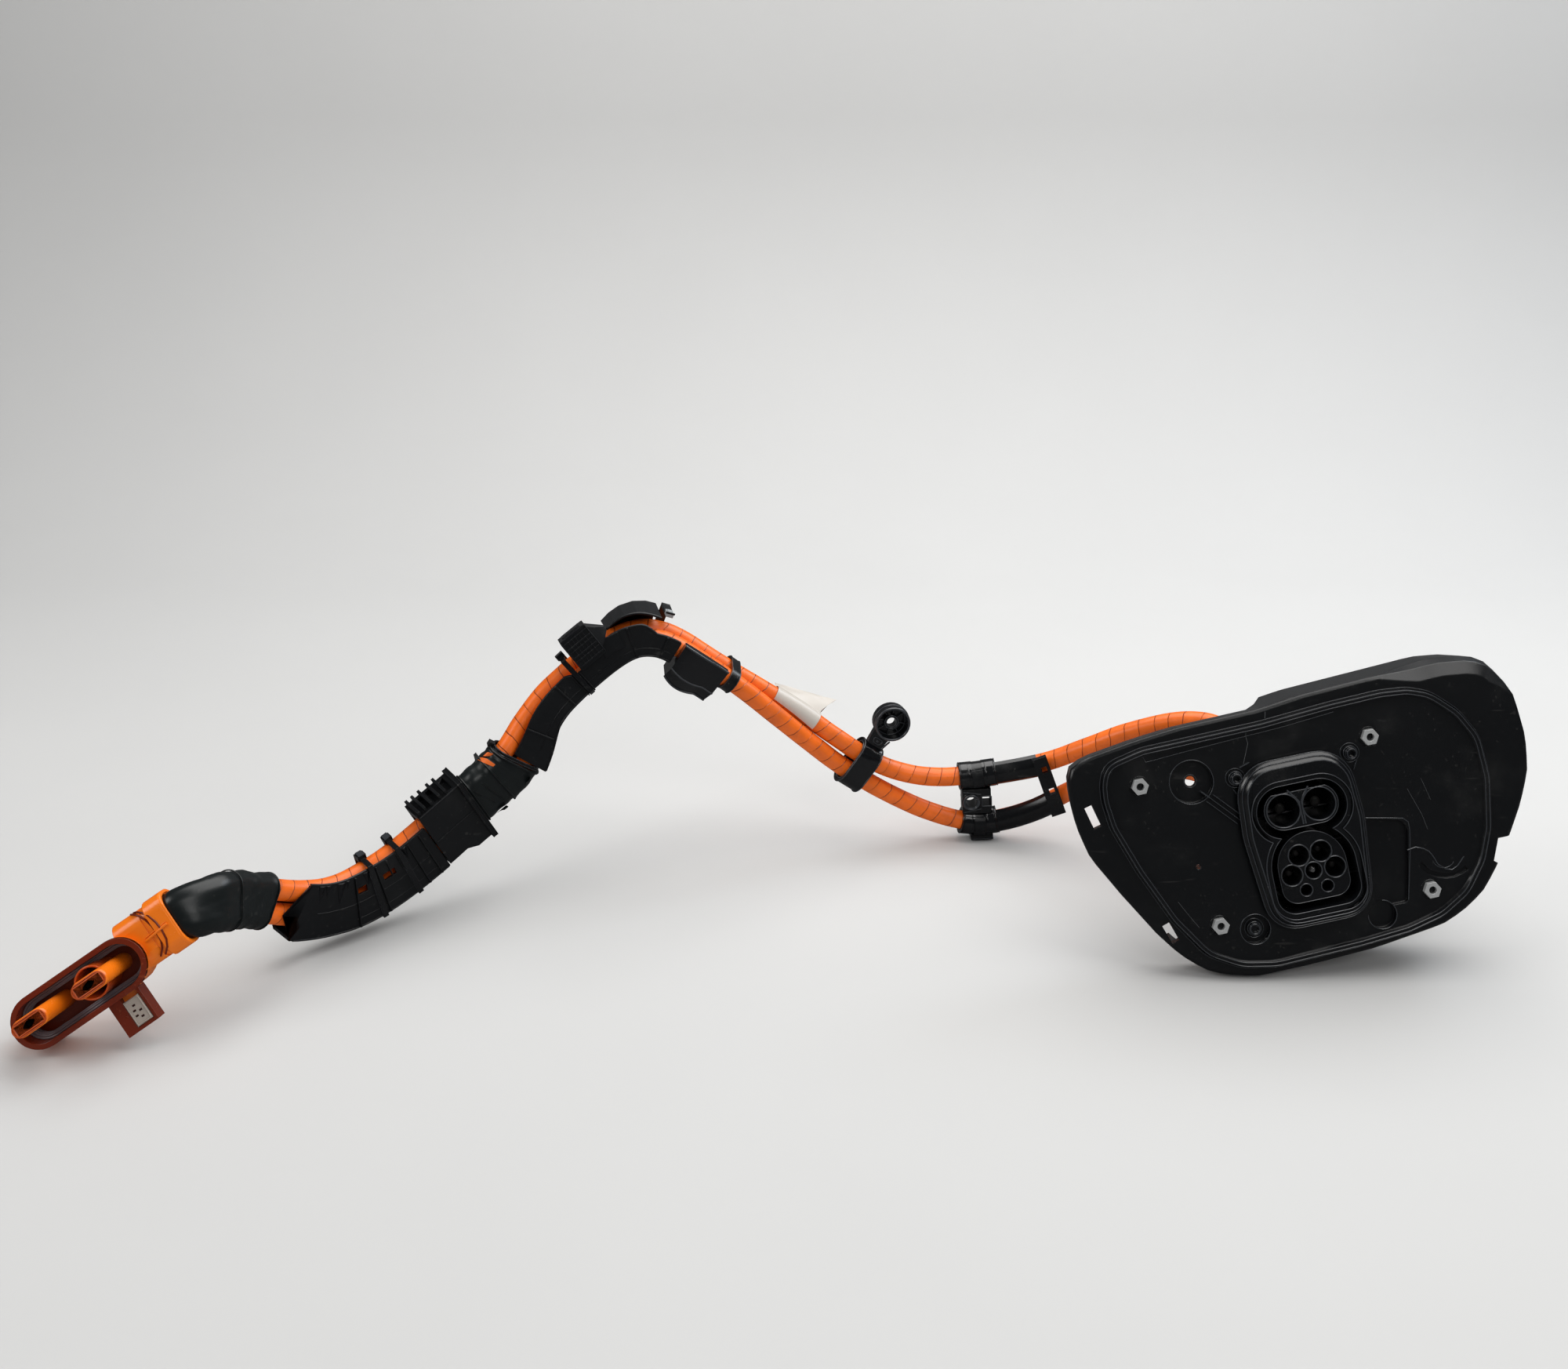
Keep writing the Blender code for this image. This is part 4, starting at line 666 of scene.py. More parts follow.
def finishes():
    plastic = bpy.context.scene.harness_plastic
    wrap = bpy.context.scene.harness_cable
    black = tuple(plastic.black)
    dust = plastic.dust
    amber = tuple(plastic.amber)
    tape = tuple(wrap.tape_colour)
    grey_black = tuple(c * 1.25 for c in black)
    rusty = (0.3, 0.1, 0.025)
    made = {
        "black": moulded("moulded_black", black, 0.26, dust, 0.03, specular=0.6, edge=0.8),
        "gloss": moulded("polished_black", black, 0.17, dust * 0.5, 0.02, specular=0.8, edge=0.6),
        "panel": moulded("grained_black", black, 0.33, dust * 0.8, 0.05, specular=0.5, edge=1.2),
        "duct": moulded("duct_black", grey_black, 0.35, dust, 0.05, specular=0.45, edge=0.9),
        "rubber": moulded("soft_rubber", (0.011, 0.016, 0.016), 0.5, dust * 1.3, 0.12, specular=0.35),
        "sleeve": moulded(
            "wrapped_sleeve", (0.0065, 0.009, 0.0095), 0.36, dust * 0.7, 0.03, specular=0.45, edge=0.4),
        # Grey-black lighter than the mouldings, for beads along rims, seams, ribs and folds: painted
        # highlight where edges catch the lamps.
        "edge": moulded("edge_painted_highlight", (0.032, 0.035, 0.04), 0.24, dust, 0.02, specular=0.9, edge=0.2),
        "hairline": moulded("rubbed_edge", (0.11, 0.115, 0.12), 0.45, dust, 0.02, edge=0.1),
        "amber": moulded("amber_plastic", amber, 0.32, 0.35, 0.03, dust_colour=rusty),
        # Darker, redder amber: painted shade for connector faces that the lamps above leave in shadow, on the
        # shroud's inside and rim, the neck grooves and the lug.
        "deep_amber": moulded(
            "deep_amber", (0.15, 0.017, 0.004), 0.3, 0.35, 0.03, dust_colour=(0.3, 0.08, 0.03)),
        # Orange-red darker than the amber: painted shade on the contacts' front faces and the guard ring,
        # which the lamps above leave half in shadow.
        "tip": moulded("amber_half_shade", (0.5, 0.07, 0.006), 0.3, 0.3, 0.03, dust_colour=(0.35, 0.08, 0.02)),
        # Near-black red: painted shade deep in the contact slots and in the latch's slots.
        "well": moulded("painted_slot_shade", (0.03, 0.005, 0.003), 0.4, 0.2, 0.02, dust_colour=(0.08, 0.02, 0.01)),
        "steel": moulded("plated_steel", (0.55, 0.56, 0.56), 0.36, 0.3, 0.03, metallic=0.45),
        "contact": moulded("contact_metal", (0.6, 0.6, 0.6), 0.25, 0.4, 0.02, metallic=1.0),
        # Near-black metal: the pins' own dark touch caps, and painted shade on the connector's blades deep in
        # their slots.
        "dim": moulded("dark_metal_and_shade", (0.02, 0.019, 0.018), 0.4, 0.3, 0.02, metallic=0.7),
        "grey": moulded("light_grey", (0.3, 0.32, 0.33), 0.4, 0.4, 0.03, dust_colour=(0.15, 0.15, 0.14)),
        "pale": moulded("pale_plastic", (0.42, 0.37, 0.32), 0.45, 0.5, 0.03, dust_colour=(0.2, 0.14, 0.1)),
        "film": moulded(
            "label_film", (0.56, 0.52, 0.47), 0.32, 0.6, 0.05, dust_colour=(0.4, 0.33, 0.27), edge=0.1),
        "seal": moulded("grey_seal", (0.14, 0.115, 0.125), 0.25, 0.5, 0.04, dust_colour=(0.2, 0.17, 0.15)),
        "shred": moulded(
            "torn_tape", tuple(c * 0.8 for c in tape), 0.45, 0.4, 0.05, dust_colour=rusty, edge=0.1),
        "tape": taped("wound_orange", tape, (0.15, 0.02, 0.005), wrap.tape_pitch),
    }
    return {key: f.material for key, f in made.items()}


def cable(name, path, node, radius, seed, sides=28):
    count = int(path.length / 1.6)
    side = unit(np.cross(path.tangent(4), (0, 0, 1)))
    verts, uv = [], []
    for k in range(count + 1):
        s = path.length * k / count
        p, t = path.at(s), path.tangent(min(max(s, 4), path.length - 4))
        side = unit(side - t * (side @ t))
        other = np.cross(t, side)
        for i in range(sides + 1):
            a = tau * i / sides
            swell = 0.18 * noise.noise(Vector((s * 0.05, cos(a) * 0.7, sin(a) * 0.7 + seed)))
            r = (radius + swell - 0.12) * MM
            uv.append((s * MM, i / sides))
            if i < sides:
                verts.append(tuple(p + (side * cos(a) + other * sin(a)) * r))
    faces, loops = [], []
    for k in range(count):
        for i in range(sides):
            j = (i + 1) % sides
            a, b = k * sides, (k + 1) * sides
            faces.append((a + i, a + j, b + j, b + i))
            c, d = k * (sides + 1), (k + 1) * (sides + 1)
            loops += [uv[c + i], uv[c + i + 1], uv[d + i + 1], uv[d + i]]
    for end in (0, count):
        face = tuple(end * sides + i for i in range(sides))
        faces.append(face if end else face[::-1])
        loops += [(path.length * end / count * MM, 0.0)] * sides
    mesh = bpy.data.meshes.new(name)
    mesh.from_pydata(verts, [], faces)
    layer = mesh.uv_layers.new(name="wrap")
    for item, value in zip(layer.data, loops):
        item.uv = value
    obj = bpy.data.objects.new(name, mesh)
    bpy.context.scene.collection.objects.link(obj)
    finished(obj, "root", "cable_sheath", "tape", 60, 0.0, [node])
    line = [tuple(path.at(path.length * (1 - k / 60))) for k in range(61)]
    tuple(line[0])


def build_cables():
    radius = bpy.context.scene.harness_cable.radius / MM
    cable("cable_positive", POSITIVE, "hv_cable_positive", radius, 1.7)
    cable("cable_negative", NEGATIVE, "hv_cable_negative", radius, 5.1)


def flap(station, at_angle, reach, width, lift, spacing=0.0, r=11.6):
    """A torn edge of wrapping that stands off a sleeve at one angle of its ring."""
    a = radians(at_angle)
    out = np.array((cos(a), sin(a)))
    along = np.array((-sin(a), cos(a)))
    rows = []
    for k in range(5):
        t = k / 4
        base = out * (r + lift * t * t) + along * reach * t + np.array((0.0, spacing))
        half = width / 2 * (1 - 0.55 * t)
        lean = 0.35 * width * t
        for d in (-half + lean, half + lean):
            rows.append((base[0], base[1], d))
    top = laid(station, rows)
    low = laid(station, [(x - 0.35 * out[0], y - 0.35 * out[1], z) for x, y, z in rows])
    loops = []
    for k in range(5):
        loops.append([top[2 * k], top[2 * k + 1], low[2 * k + 1], low[2 * k]])
    return loft(loops)


def build_carrier():
    refined("carrier_shell", "panel", sharp=26)
    refined_all("carrier_nut_1 carrier_nut_2 carrier_nut_3 carrier_nut_4", "steel")
    rim = resample(rounded(RIM_LINE, 30, 4), 220)
    # Beads along the rim in the lighter grey-black: painted highlight on its edges.
    for k, (away, z, r) in enumerate(((-1.4, 0.9, 0.42), (1.4, 0.9, 0.42), (3.4, -2.7, 0.35))):
        piece(f"rim_bead_{k + 1}", hoop(offset(rim, away), z, r), HOUSING, finish="edge")
    top_line = [
        (-112.5, 95.0), (-111.2, 90.2), (-104.8, 90.4), (-86.5, 91.5), (-48.8, 93.2), (-1.2, 95.0),
        (39.3, 98.2)]
    hook = [
        (73.2, -18.5), (80, -17.6), (85.4, -19.8), (89.5, -23), (91.8, -27.4), (94.1, -34.1), (99.3, -39.0),
        (104, -40.5), (108.7, -38.5), (115.0, -32.4)]
    pocket = [(46.5, 12.6), (67, 8.2), (75, 6.2), (78.4, 2.6), (78.2, -4), (75, -20), (66.2, -56)]
    seams = [bead(raised(line, SEAM_Z), r) for line, r in ((top_line, 0.32), (hook, 0.5), (pocket, 0.45))]
    seams += [
        ring(-79.6, 67.7, SEAM_Z, 17.2, 0.4),
        ring(-54.7, -54.2, SEAM_Z, 11.8, 0.4),
        ring(44, -63.5, SEAM_Z, 11.2, 0.4, -190, 80),
        ring(-79.6, 67.7, PANEL_Z - 4.4, 5.0, 0.3),
        ring(99.6, -29.0, SEAM_Z, 9.0, 0.3, 190, 320),
    ]
    # Painted highlight along the seams, hook line and rings.
    piece("panel_seams", seams, HOUSING, finish="edge")
    low = PANEL_Z - 0.2
    ribs = [ridge(line, width, foot, top) for line, width, foot, top in (
        ([(-71.5, 51.0), (-51.6, 29.0)], 0.9, low, 0.0),
        ([(-68.6, 53.4), (-49.0, 31.4)], 0.9, low, 0.0),
        ([(-65.4, 55.0), (-47.0, 34.6)], 0.9, low, 0.0),
        ([(-68.6, 53.4), (-73.8, 58.8)], 1.6, PANEL_Z - 4.6, -0.6),
        ([(-49.2, 55.5), (-45.6, 49.0)], 1.0, low, -0.4),
        ([(-41.2, 71.0), (-33.0, 73.5)], 1.0, low, -0.4),
        ([(48.9, 58.2), (45.0, 51.5)], 1.0, low, -0.4),
    )]
    # Painted highlight along the ribs.
    piece("panel_ribs", ribs, HOUSING, finish="edge")
    scratches = [bead(raised(line, z), r, sides=5) for line, z, r in (
        ([(-13.0, 109.6), (-14.2, 104.6)], 0.2, 0.2),
        ([(-30.4, 96.8), (-31.1, 93.2), (-30.6, 88), (-32.4, 84.1), (-37.2, 73.3)], PANEL_Z + 0.02, 0.17),
        ([(-109, -21), (-103, -33), (-97, -44)], PANEL_Z + 0.02, 0.12),
        ([(83, 28), (90, 6), (92, -6)], PANEL_Z + 0.02, 0.1),
        ([(95, 34), (99, 16)], PANEL_Z + 0.02, 0.1),
    )]
    piece("panel_hairlines", scratches, HOUSING, finish="hairline")
    nuts = ((-119.8, 73.1), (62.1, 73.9), (84.8, -51.9), (-81.1, -45.4))
    piece("nut_seats", [ring(x, y, SEAM_Z, 7.6, 0.35) for x, y in nuts], HOUSING, finish="black")
    notches = [
        bead([(168.0, 67.5, -5.6), (171.5, 64.8, -6.6), (176.0, 61.2, -9.0)], 0.5),
        bead([(170.4, 72.5, -5.6), (176.6, 69.0, -8.0)], 0.4),
        bead([(-166.0, 47.5, -4.4), (-160.5, 43.0, -3.4)], 0.4),
        bead([(-128.5, -41.0, -3.6), (-121.0, -52.5, -3.8)], 0.4),
    ]
    piece("border_notches", notches, HOUSING, finish="gloss")
    stays = []
    for y in (-56, -28, 0, 28, 56, 82):
        half = np.interp(y, (-56, 0, 82), (78, 118, 132))
        stays.append(ridge([(-half, y), (half, y)], 1.6, PANEL_Z - 12.5, PANEL_Z - 6.3, 0.8))
    piece("panel_stays", stays, HOUSING, finish="panel")


def build_inlet():
    refined("inlet_frame", "black", sharp=24)
    refined("inlet_gasket", "rubber")
    refined("inlet_body", "black", sharp=28)
    refined_all("dc_pin_1 dc_pin_2 ac_pin_1 ac_pin_2 ac_pin_3 ac_pin_4 pilot_pin_1 pilot_pin_2", "dim")
    refined("pe_pin", "contact")
    refined("lock_pin", "contact", "lock")
    refined_all("rear_cover lock_actuator", "black", sharp=26)
    refined_all("cable_gland_1 cable_gland_2", "seal")
    refined_all("inlet_screw_1 inlet_screw_2 inlet_screw_3", "gloss")
    collar_line = resample(rounded(COLLAR, COLLAR_RADII, 6), 200)
    # Beads along the mouth's and collar's edges in the lighter grey-black: painted highlight.
    edges = [
        hoop(mouth(4.3), COLLAR_TOP, 0.45),
        hoop(mouth(0.3), BODY_TOP, 0.4),
        hoop(offset(collar_line, -2.5), PANEL_Z + 8.4, 0.45),
        hoop(offset(collar_line, -5.6), COLLAR_TOP - 0.1, 0.5),
        hoop(offset(collar_line, 0.0), PANEL_Z + 5.4, 0.4),
    ]
    piece("inlet_edges", edges, INLET, finish="edge")
    lobe_r = DC_BORE + 2.2
    twin = arc(DC_X, DC_Y, lobe_r, 62, -90, 24) + arc(-DC_X, DC_Y, lobe_r, 270, 118, 24)
    plug = arc(0, -16.5, 26.6, 180, 0, 24)
    plug += arc(14.6, -31.3, 12, 0, -90, 8) + arc(-14.6, -31.3, 12, 270, 180, 8)
    # Socket rims and valley lines in the same lighter grey-black: painted highlight.
    rims = [hoop(twin, TWIN_TOP, 0.4), hoop(plug, PLUG_TOP, 0.35)]
    for x in (-DC_X, DC_X):
        rims.append(ring(x, DC_Y, TWIN_TOP + 0.2, DC_BORE + 0.35, 0.62))
    for x, y in AC_SPOTS:
        rims.append(ring(x, y, PLUG_TOP + 0.4, 8.3, 0.6))
    rims.append(ring(*PE_SPOT, PLUG_TOP + 0.4, 6.7, 0.6))
    for x, y in PILOT_SPOTS:
        rims.append(ring(x, y, PLUG_TOP + 0.3, 4.9, 0.5))
    for side in (-1, 1):
        valley = [(8.2, 45.0, 0.2), (3.4, 38.8, 0.3), (0.9, 34.6, 0.3), (0.9, 17.2, 0.3)]
        rims.append(bead([(side * x, y, TWIN_TOP + z) for x, y, z in valley], 0.75))
    piece("socket_rims", rims, INLET, finish="edge")
    # Screw head rings in the lighter grey-black: painted highlight on their threads and edges.
    heads = []
    for x, y, z in ((-46.0, 63.9, PANEL_Z), (44.9, 64.8, PANEL_Z), (-54.7, -54.2, PANEL_Z - 4.5)):
        heads += [ring(x, y, z + 1.8, 5.2, 0.5), ring(x, y, z + (6.0 if z == PANEL_Z else 4.0), 3.6, 0.4)]
        heads += [ring(x, y, z + 3.6, 4.3, 0.3), ring(x, y, z + 0.3, 7.4, 0.35)]
    piece("screw_threads", heads, HOUSING, finish="edge")
    tip = bead([(*PE_SPOT, PLUG_TOP - depth) for depth in (3.4, 1.6, 1.0)], 1.7)
    piece("earth_tip", tip, INLET, finish="contact")
    fins = []
    for k in range(7):
        x = -30 + 10 * k
        fins.append(loft([
            raised(box_outline(x - 0.9, -48, x + 0.9, 14), z) for z in (-78.6, -76.0)]))
    piece("rear_cover_ribs", fins, HOUSING, finish="black")
    threads = []
    for x in (-DC_X, DC_X):
        for z in (-85.5, -87.5, -89.2):
            threads.append(ring(x, DC_Y, z, 11.7, 0.45))
    piece("gland_threads", threads, HOUSING, finish="seal")


def neck_outline(y_scale, z_scale, steps=6):
    wide, high = NECK_W * y_scale, NECK_H * z_scale
    return rounded(box_outline(NECK_Y - wide, NECK_Z - high, NECK_Y + wide, NECK_Z + high), 10.5, steps)


def build_connector():
    refined("connector_housing", "amber", sharp=26)
    refined("connector_cap", "amber", bevel=0.5)
    refined_all("contact_carrier_1 contact_carrier_2", "amber")
    # The blades are near-black: painted shade in their slots.
    refined_all("contact_blade_1 contact_blade_2", "dim")
    refined("connector_seal", "seal")
    refined("connector_lock", "pale", "latch")
    inner = resample(obround(50.4, 16.4, 14), 96)
    outer = resample(obround(54.2, 20.2, 14), 96)
    # A thin sheet just inside the shroud wall, with a front rim and a floor, in the darker amber: painted
    # shade on the shroud's shadowed inside and rim.
    sheet_inside = offset(inner, -0.3)
    shade_sheet = loft([raised(inner, -22.8), raised(inner, 0.2), raised(sheet_inside, 0.1), raised(sheet_inside, -22.8)], True)
    crown, lip = offset(outer, -0.5), offset(inner, -0.1)
    steps = ((outer, -3.2), (outer, 0.05), (crown, 0.35), (lip, 0.35), (lip, -0.2), (outer, -0.2))
    rim = loft([raised(line, z) for line, z in steps], True)
    floor = prism(offset(inner, -0.2), -22.9, -22.4)
    piece("shroud_shade_sheet", [shade_sheet, rim, floor], CONNECTOR, finish="deep_amber")
    seat = resample(obround(50.2, 16.2, 14), 120)
    lips = [hoop(offset(seat, d), z, r) for d, z, r in (
        (-0.9, -10.8, 0.9), (-2.5, -11.2, 0.7), (-3.9, -12.4, 0.7), (-4.0, -15.2, 0.6))]
    piece("seal_lips", lips, CONNECTOR, finish="seal", sharp=60)
    # The guard ring and the contacts' faces take the darker orange-red: painted shade.
    guard = band(circle(13.4, 1.2, 12.4, 48), circle(13.4, 1.2, 11.2, 48), -22.0, 3.0)
    crest = ring(13.4, 1.2, 3.0, 11.8, 0.75)
    piece("contact_guard", [guard, crest], CONNECTOR, finish="tip")
    faces, wells = [], []
    for x, y in CONTACTS:
        hole = shifted(box_outline(-10.4, -3.4, 10.4, 3.4), x, y)
        face = shifted(obround(13.0, 5.4, 8), x, y)
        frame_line = rounded(shifted(box_outline(-11, -4, 11, 4), x, y), 1.0, 3)
        faces.append(band(resample(face, 64), resample(hole, 64), CONTACT_TOP - 0.4, CONTACT_TOP + 0.12))
        faces.append(hoop(shifted(obround(12.9, 5.3, 10), x, y), CONTACT_TOP + 0.1, 0.6))
        faces.append(hoop(frame_line, CONTACT_TOP + 0.4, 0.5))
        # The walls and a floor inside each slot in near-black: painted shade in the slot.
        inside = shifted(box_outline(-10.2, -3.2, 10.2, 3.2), x, y)
        wells.append(band(hole, inside, -7.8, CONTACT_TOP))
        wells.append(prism(inside, 3.0, 3.6))
    piece("contact_faces", faces, CONNECTOR, finish="tip")
    piece("contact_wells", wells, CONNECTOR, finish="well")
    # Beads along the neck's two arc grooves in the darker amber: painted shade in the grooves.
    arcs = [
        [(57.5, 25.6, -15.0), (61.5, 24.9, -10.4), (65.6, 22.2, -8.0), (69.0, 17.4, -6.0), (70.9, 10.8, -5.6),
         (71.3, 4.0, -5.6), (70.4, -3.4, -5.6), (67.8, -8.4, -5.8), (62.8, -12.0, -8.4)],
        [(55.0, 25.8, -15.4), (58.8, 24.8, -10.6), (62.6, 21.4, -7.9), (65.0, 16.4, -7.5), (66.2, 10.4, -7.5),
         (66.4, 4.0, -7.5), (65.8, -2.4, -7.5), (63.6, -7.0, -7.6), (59.0, -11.4, -8.8)],
    ]
    piece("neck_grooves", [bead(line, 0.75) for line in arcs], CONNECTOR, finish="deep_amber")
    spine = [(56.4, 3.6, -7.5), (60.0, 4.0, -6.5), (68.0, 4.8, -5.8), (77.0, 5.6, -5.2)]
    ribs = [bead(spine, 1.0), bead([(x, y + 1.9, z - 0.6) for x, y, z in spine], 0.5)]
    piece("neck_ribs", ribs, CONNECTOR, finish="amber")
    rows = []
    for past, grow in ((-1.2, 1.1), (0.6, 1.1), (1.4, 1.06), (1.4, 0.98), (-1.0, 0.98)):
        section = resample(neck_outline(grow, grow + 0.04), 96)
        rows.append([(NECK_END + past, p[0], p[1]) for p in section])
    piece("cap_lip", loft(rows, True), CONNECTOR, finish="amber", sharp=50)
    # A shell over the lug's walls in the darker amber: painted shade on the lug's shadowed faces.
    lug = band(box_outline(8.3, -47.2, 33.5, -19.6), box_outline(17.7, -44.5, 31.3, -19.8), -20.2, -7.8)
    piece("lug_shade_shell", lug, CONNECTOR, finish="deep_amber", bevel=0.6)
    # Small dark blocks on the pale insert: painted shade in its slots.
    marks = [prism(shifted(box_outline(-1.1, -0.7, 1.1, 0.7), x, y), -7.5, -7.2) for x, y in (
        (22.0, -37.0), (25.5, -39.2), (22.4, -33.0), (26.6, -34.6), (24.0, -29.4))]
    piece("latch_slots", marks, CONNECTOR, "latch", finish="well")
    frame_line = rounded(box_outline(19.0, -43.2, 30.0, -24.8), 1.4, 3)
    piece("latch_frame", hoop(frame_line, -7.3, 0.5), CONNECTOR, "latch", finish="pale")


def build_boot():
    rows = []
    count = 56
    clear = CABLE_R + 1.5
    cores = [np.array([path.at(s) for s in spread(0.0, 90.0, 180)]) / MM for path in (POSITIVE, NEGATIVE)]

    def outside(point):
        for core in cores:
            away = point - core
            near = np.linalg.norm(away, axis=1)
            k = int(np.argmin(near))
            if near[k] < clear:
                point = core[k] + away[k] * (clear / near[k])
        return tuple(point)

    for x, grow in ((NECK_END - 3.0, 0.9), (NECK_END + 1.6, 0.93)):
        outline = [(p[1] - NECK_Z, p[0] - NECK_Y) for p in neck_outline(grow, grow, 8)]
        section = by_angle(outline, (0, 0), count)
        rows.append([CONNECTOR @ (Vector((x, NECK_Y + b, NECK_Z + a)) * MM) / MM for a, b in section])
    neck_row = np.array([tuple(p) for p in rows[-1]])
    heading = unit(np.array((0.822757, 0.185416, 0.5373)))
    for s in spread(BOOT_WRAP, BOOT_END, 46):
        station = pair_station(s)
        spacing = station[4]
        swell = 12.1 + 0.5 * noise.noise(Vector((s * 0.11, 0.3, 1.0)))
        section = by_angle(pair_ring(swell, spacing), (0, spacing / 2), count)
        made = []
        for i, (a, b) in enumerate(section):
            turn = tau * i / count
            crease = noise.noise(Vector((s * 0.075, cos(turn) * 1.2, sin(turn) * 1.2)))
            fine = noise.noise(Vector((s * 0.25, cos(turn) * 3, sin(turn) * 3)))
            away = np.array((a, b - spacing / 2))
            away = away * (1 + (1.4 * crease + 0.35 * fine) / np.linalg.norm(away))
            made.append((away[0], away[1] + spacing / 2))
        row = np.array(laid(station, made))
        blend = min(1.0, max(0.0, (s - BOOT_WRAP) / 20.0))
        blend = blend * blend * (3 - 2 * blend)
        start = neck_row + heading * (s - BOOT_WRAP + 2.0)
        rows.append([outside(p) for p in row * blend + start * (1 - blend)])
    shape = loft([[tuple(p) for p in row] for row in rows])
    piece("boot_wrap", shape, finish="sleeve", sharp=70, nodes=["boot_sleeve"])
    ends = []
    for s, r in ((BOOT_END - 0.6, 12.4), (62.0, 12.8)):
        station = pair_station(s)
        ends.append(hoop_at(station, pair_ring(r, station[4], 20), 0.6))
    piece("boot_ends", ends, finish="sleeve", sharp=70)


def cross_rib(s, low, high, tall, wide, face=11.3):
    """A rib across the lower duct's front wall."""
    station = pair_station(s)
    profile = ((face, -wide / 2), (face + tall, -wide / 3), (face + tall, wide / 3), (face, wide / 2))
    return loft([laid(station, [(f, u, a) for f, a in profile]) for u in spread(low, high, 5)])


def along_bead(span, at, radius, station=pair_station, count=30, sides=8):
    """A bead along the cables at a place of their section: (front, up), or a function that gives it."""
    line = []
    for s in spread(*span, count):
        here = station(s)
        line.append(laid(here, [at(s, here) if callable(at) else at])[0])
    return bead(line, radius, sides=sides)


def slab(station, f0, u0, f1, u1, a0, a1):
    """A block in a station's frame: front, up and along."""
    corners = ((f0, u0), (f1, u0), (f1, u1), (f0, u1))
    return loft([laid(station, [(f, u, a) for f, u in corners]) for a in (a0, a1)])


def wrap(first, last, grow, seed):
    """Tape wound tightly round both cables, with slanted folds and uneven ends."""
    count = 72
    rows = []
    for k, s in enumerate(spread(first, last, 30)):
        here = pair_station(s)
        row = []
        for i, p in enumerate(resample(pair_ring(GRIP_R + 2.4 + grow, here[4], 22), count)):
            turn = tau * i / count
            away = np.array((p[0], p[1] - here[4] / 2))
            lift = 1.1 * noise.noise(Vector((s * 0.05 + 0.4 * cos(turn), sin(turn) * 0.8, seed)))
            lift += 0.35 * sin(0.42 * s + 1.3 * sin(turn) + seed) + 0.4
            lift += 0.5 * max(0.0, 1 - min(k, 29 - k) / 3)
            away = away * (1 + lift / np.linalg.norm(away))
            lean = 0.6 * noise.noise(Vector((cos(turn) * 1.5, sin(turn) * 1.5, seed + k // 29)))
            row.append((away[0], away[1] + here[4] / 2, lean if k in (0, 29) else 0.0))
        rows.append(laid(here, row))
    inner = []
    for s in spread(last, first, 12):
        here = pair_station(s)
        inner.append(laid(here, resample(pair_ring(GRIP_R + 0.4, here[4], 22), count)))
    return loft(rows + inner, True)


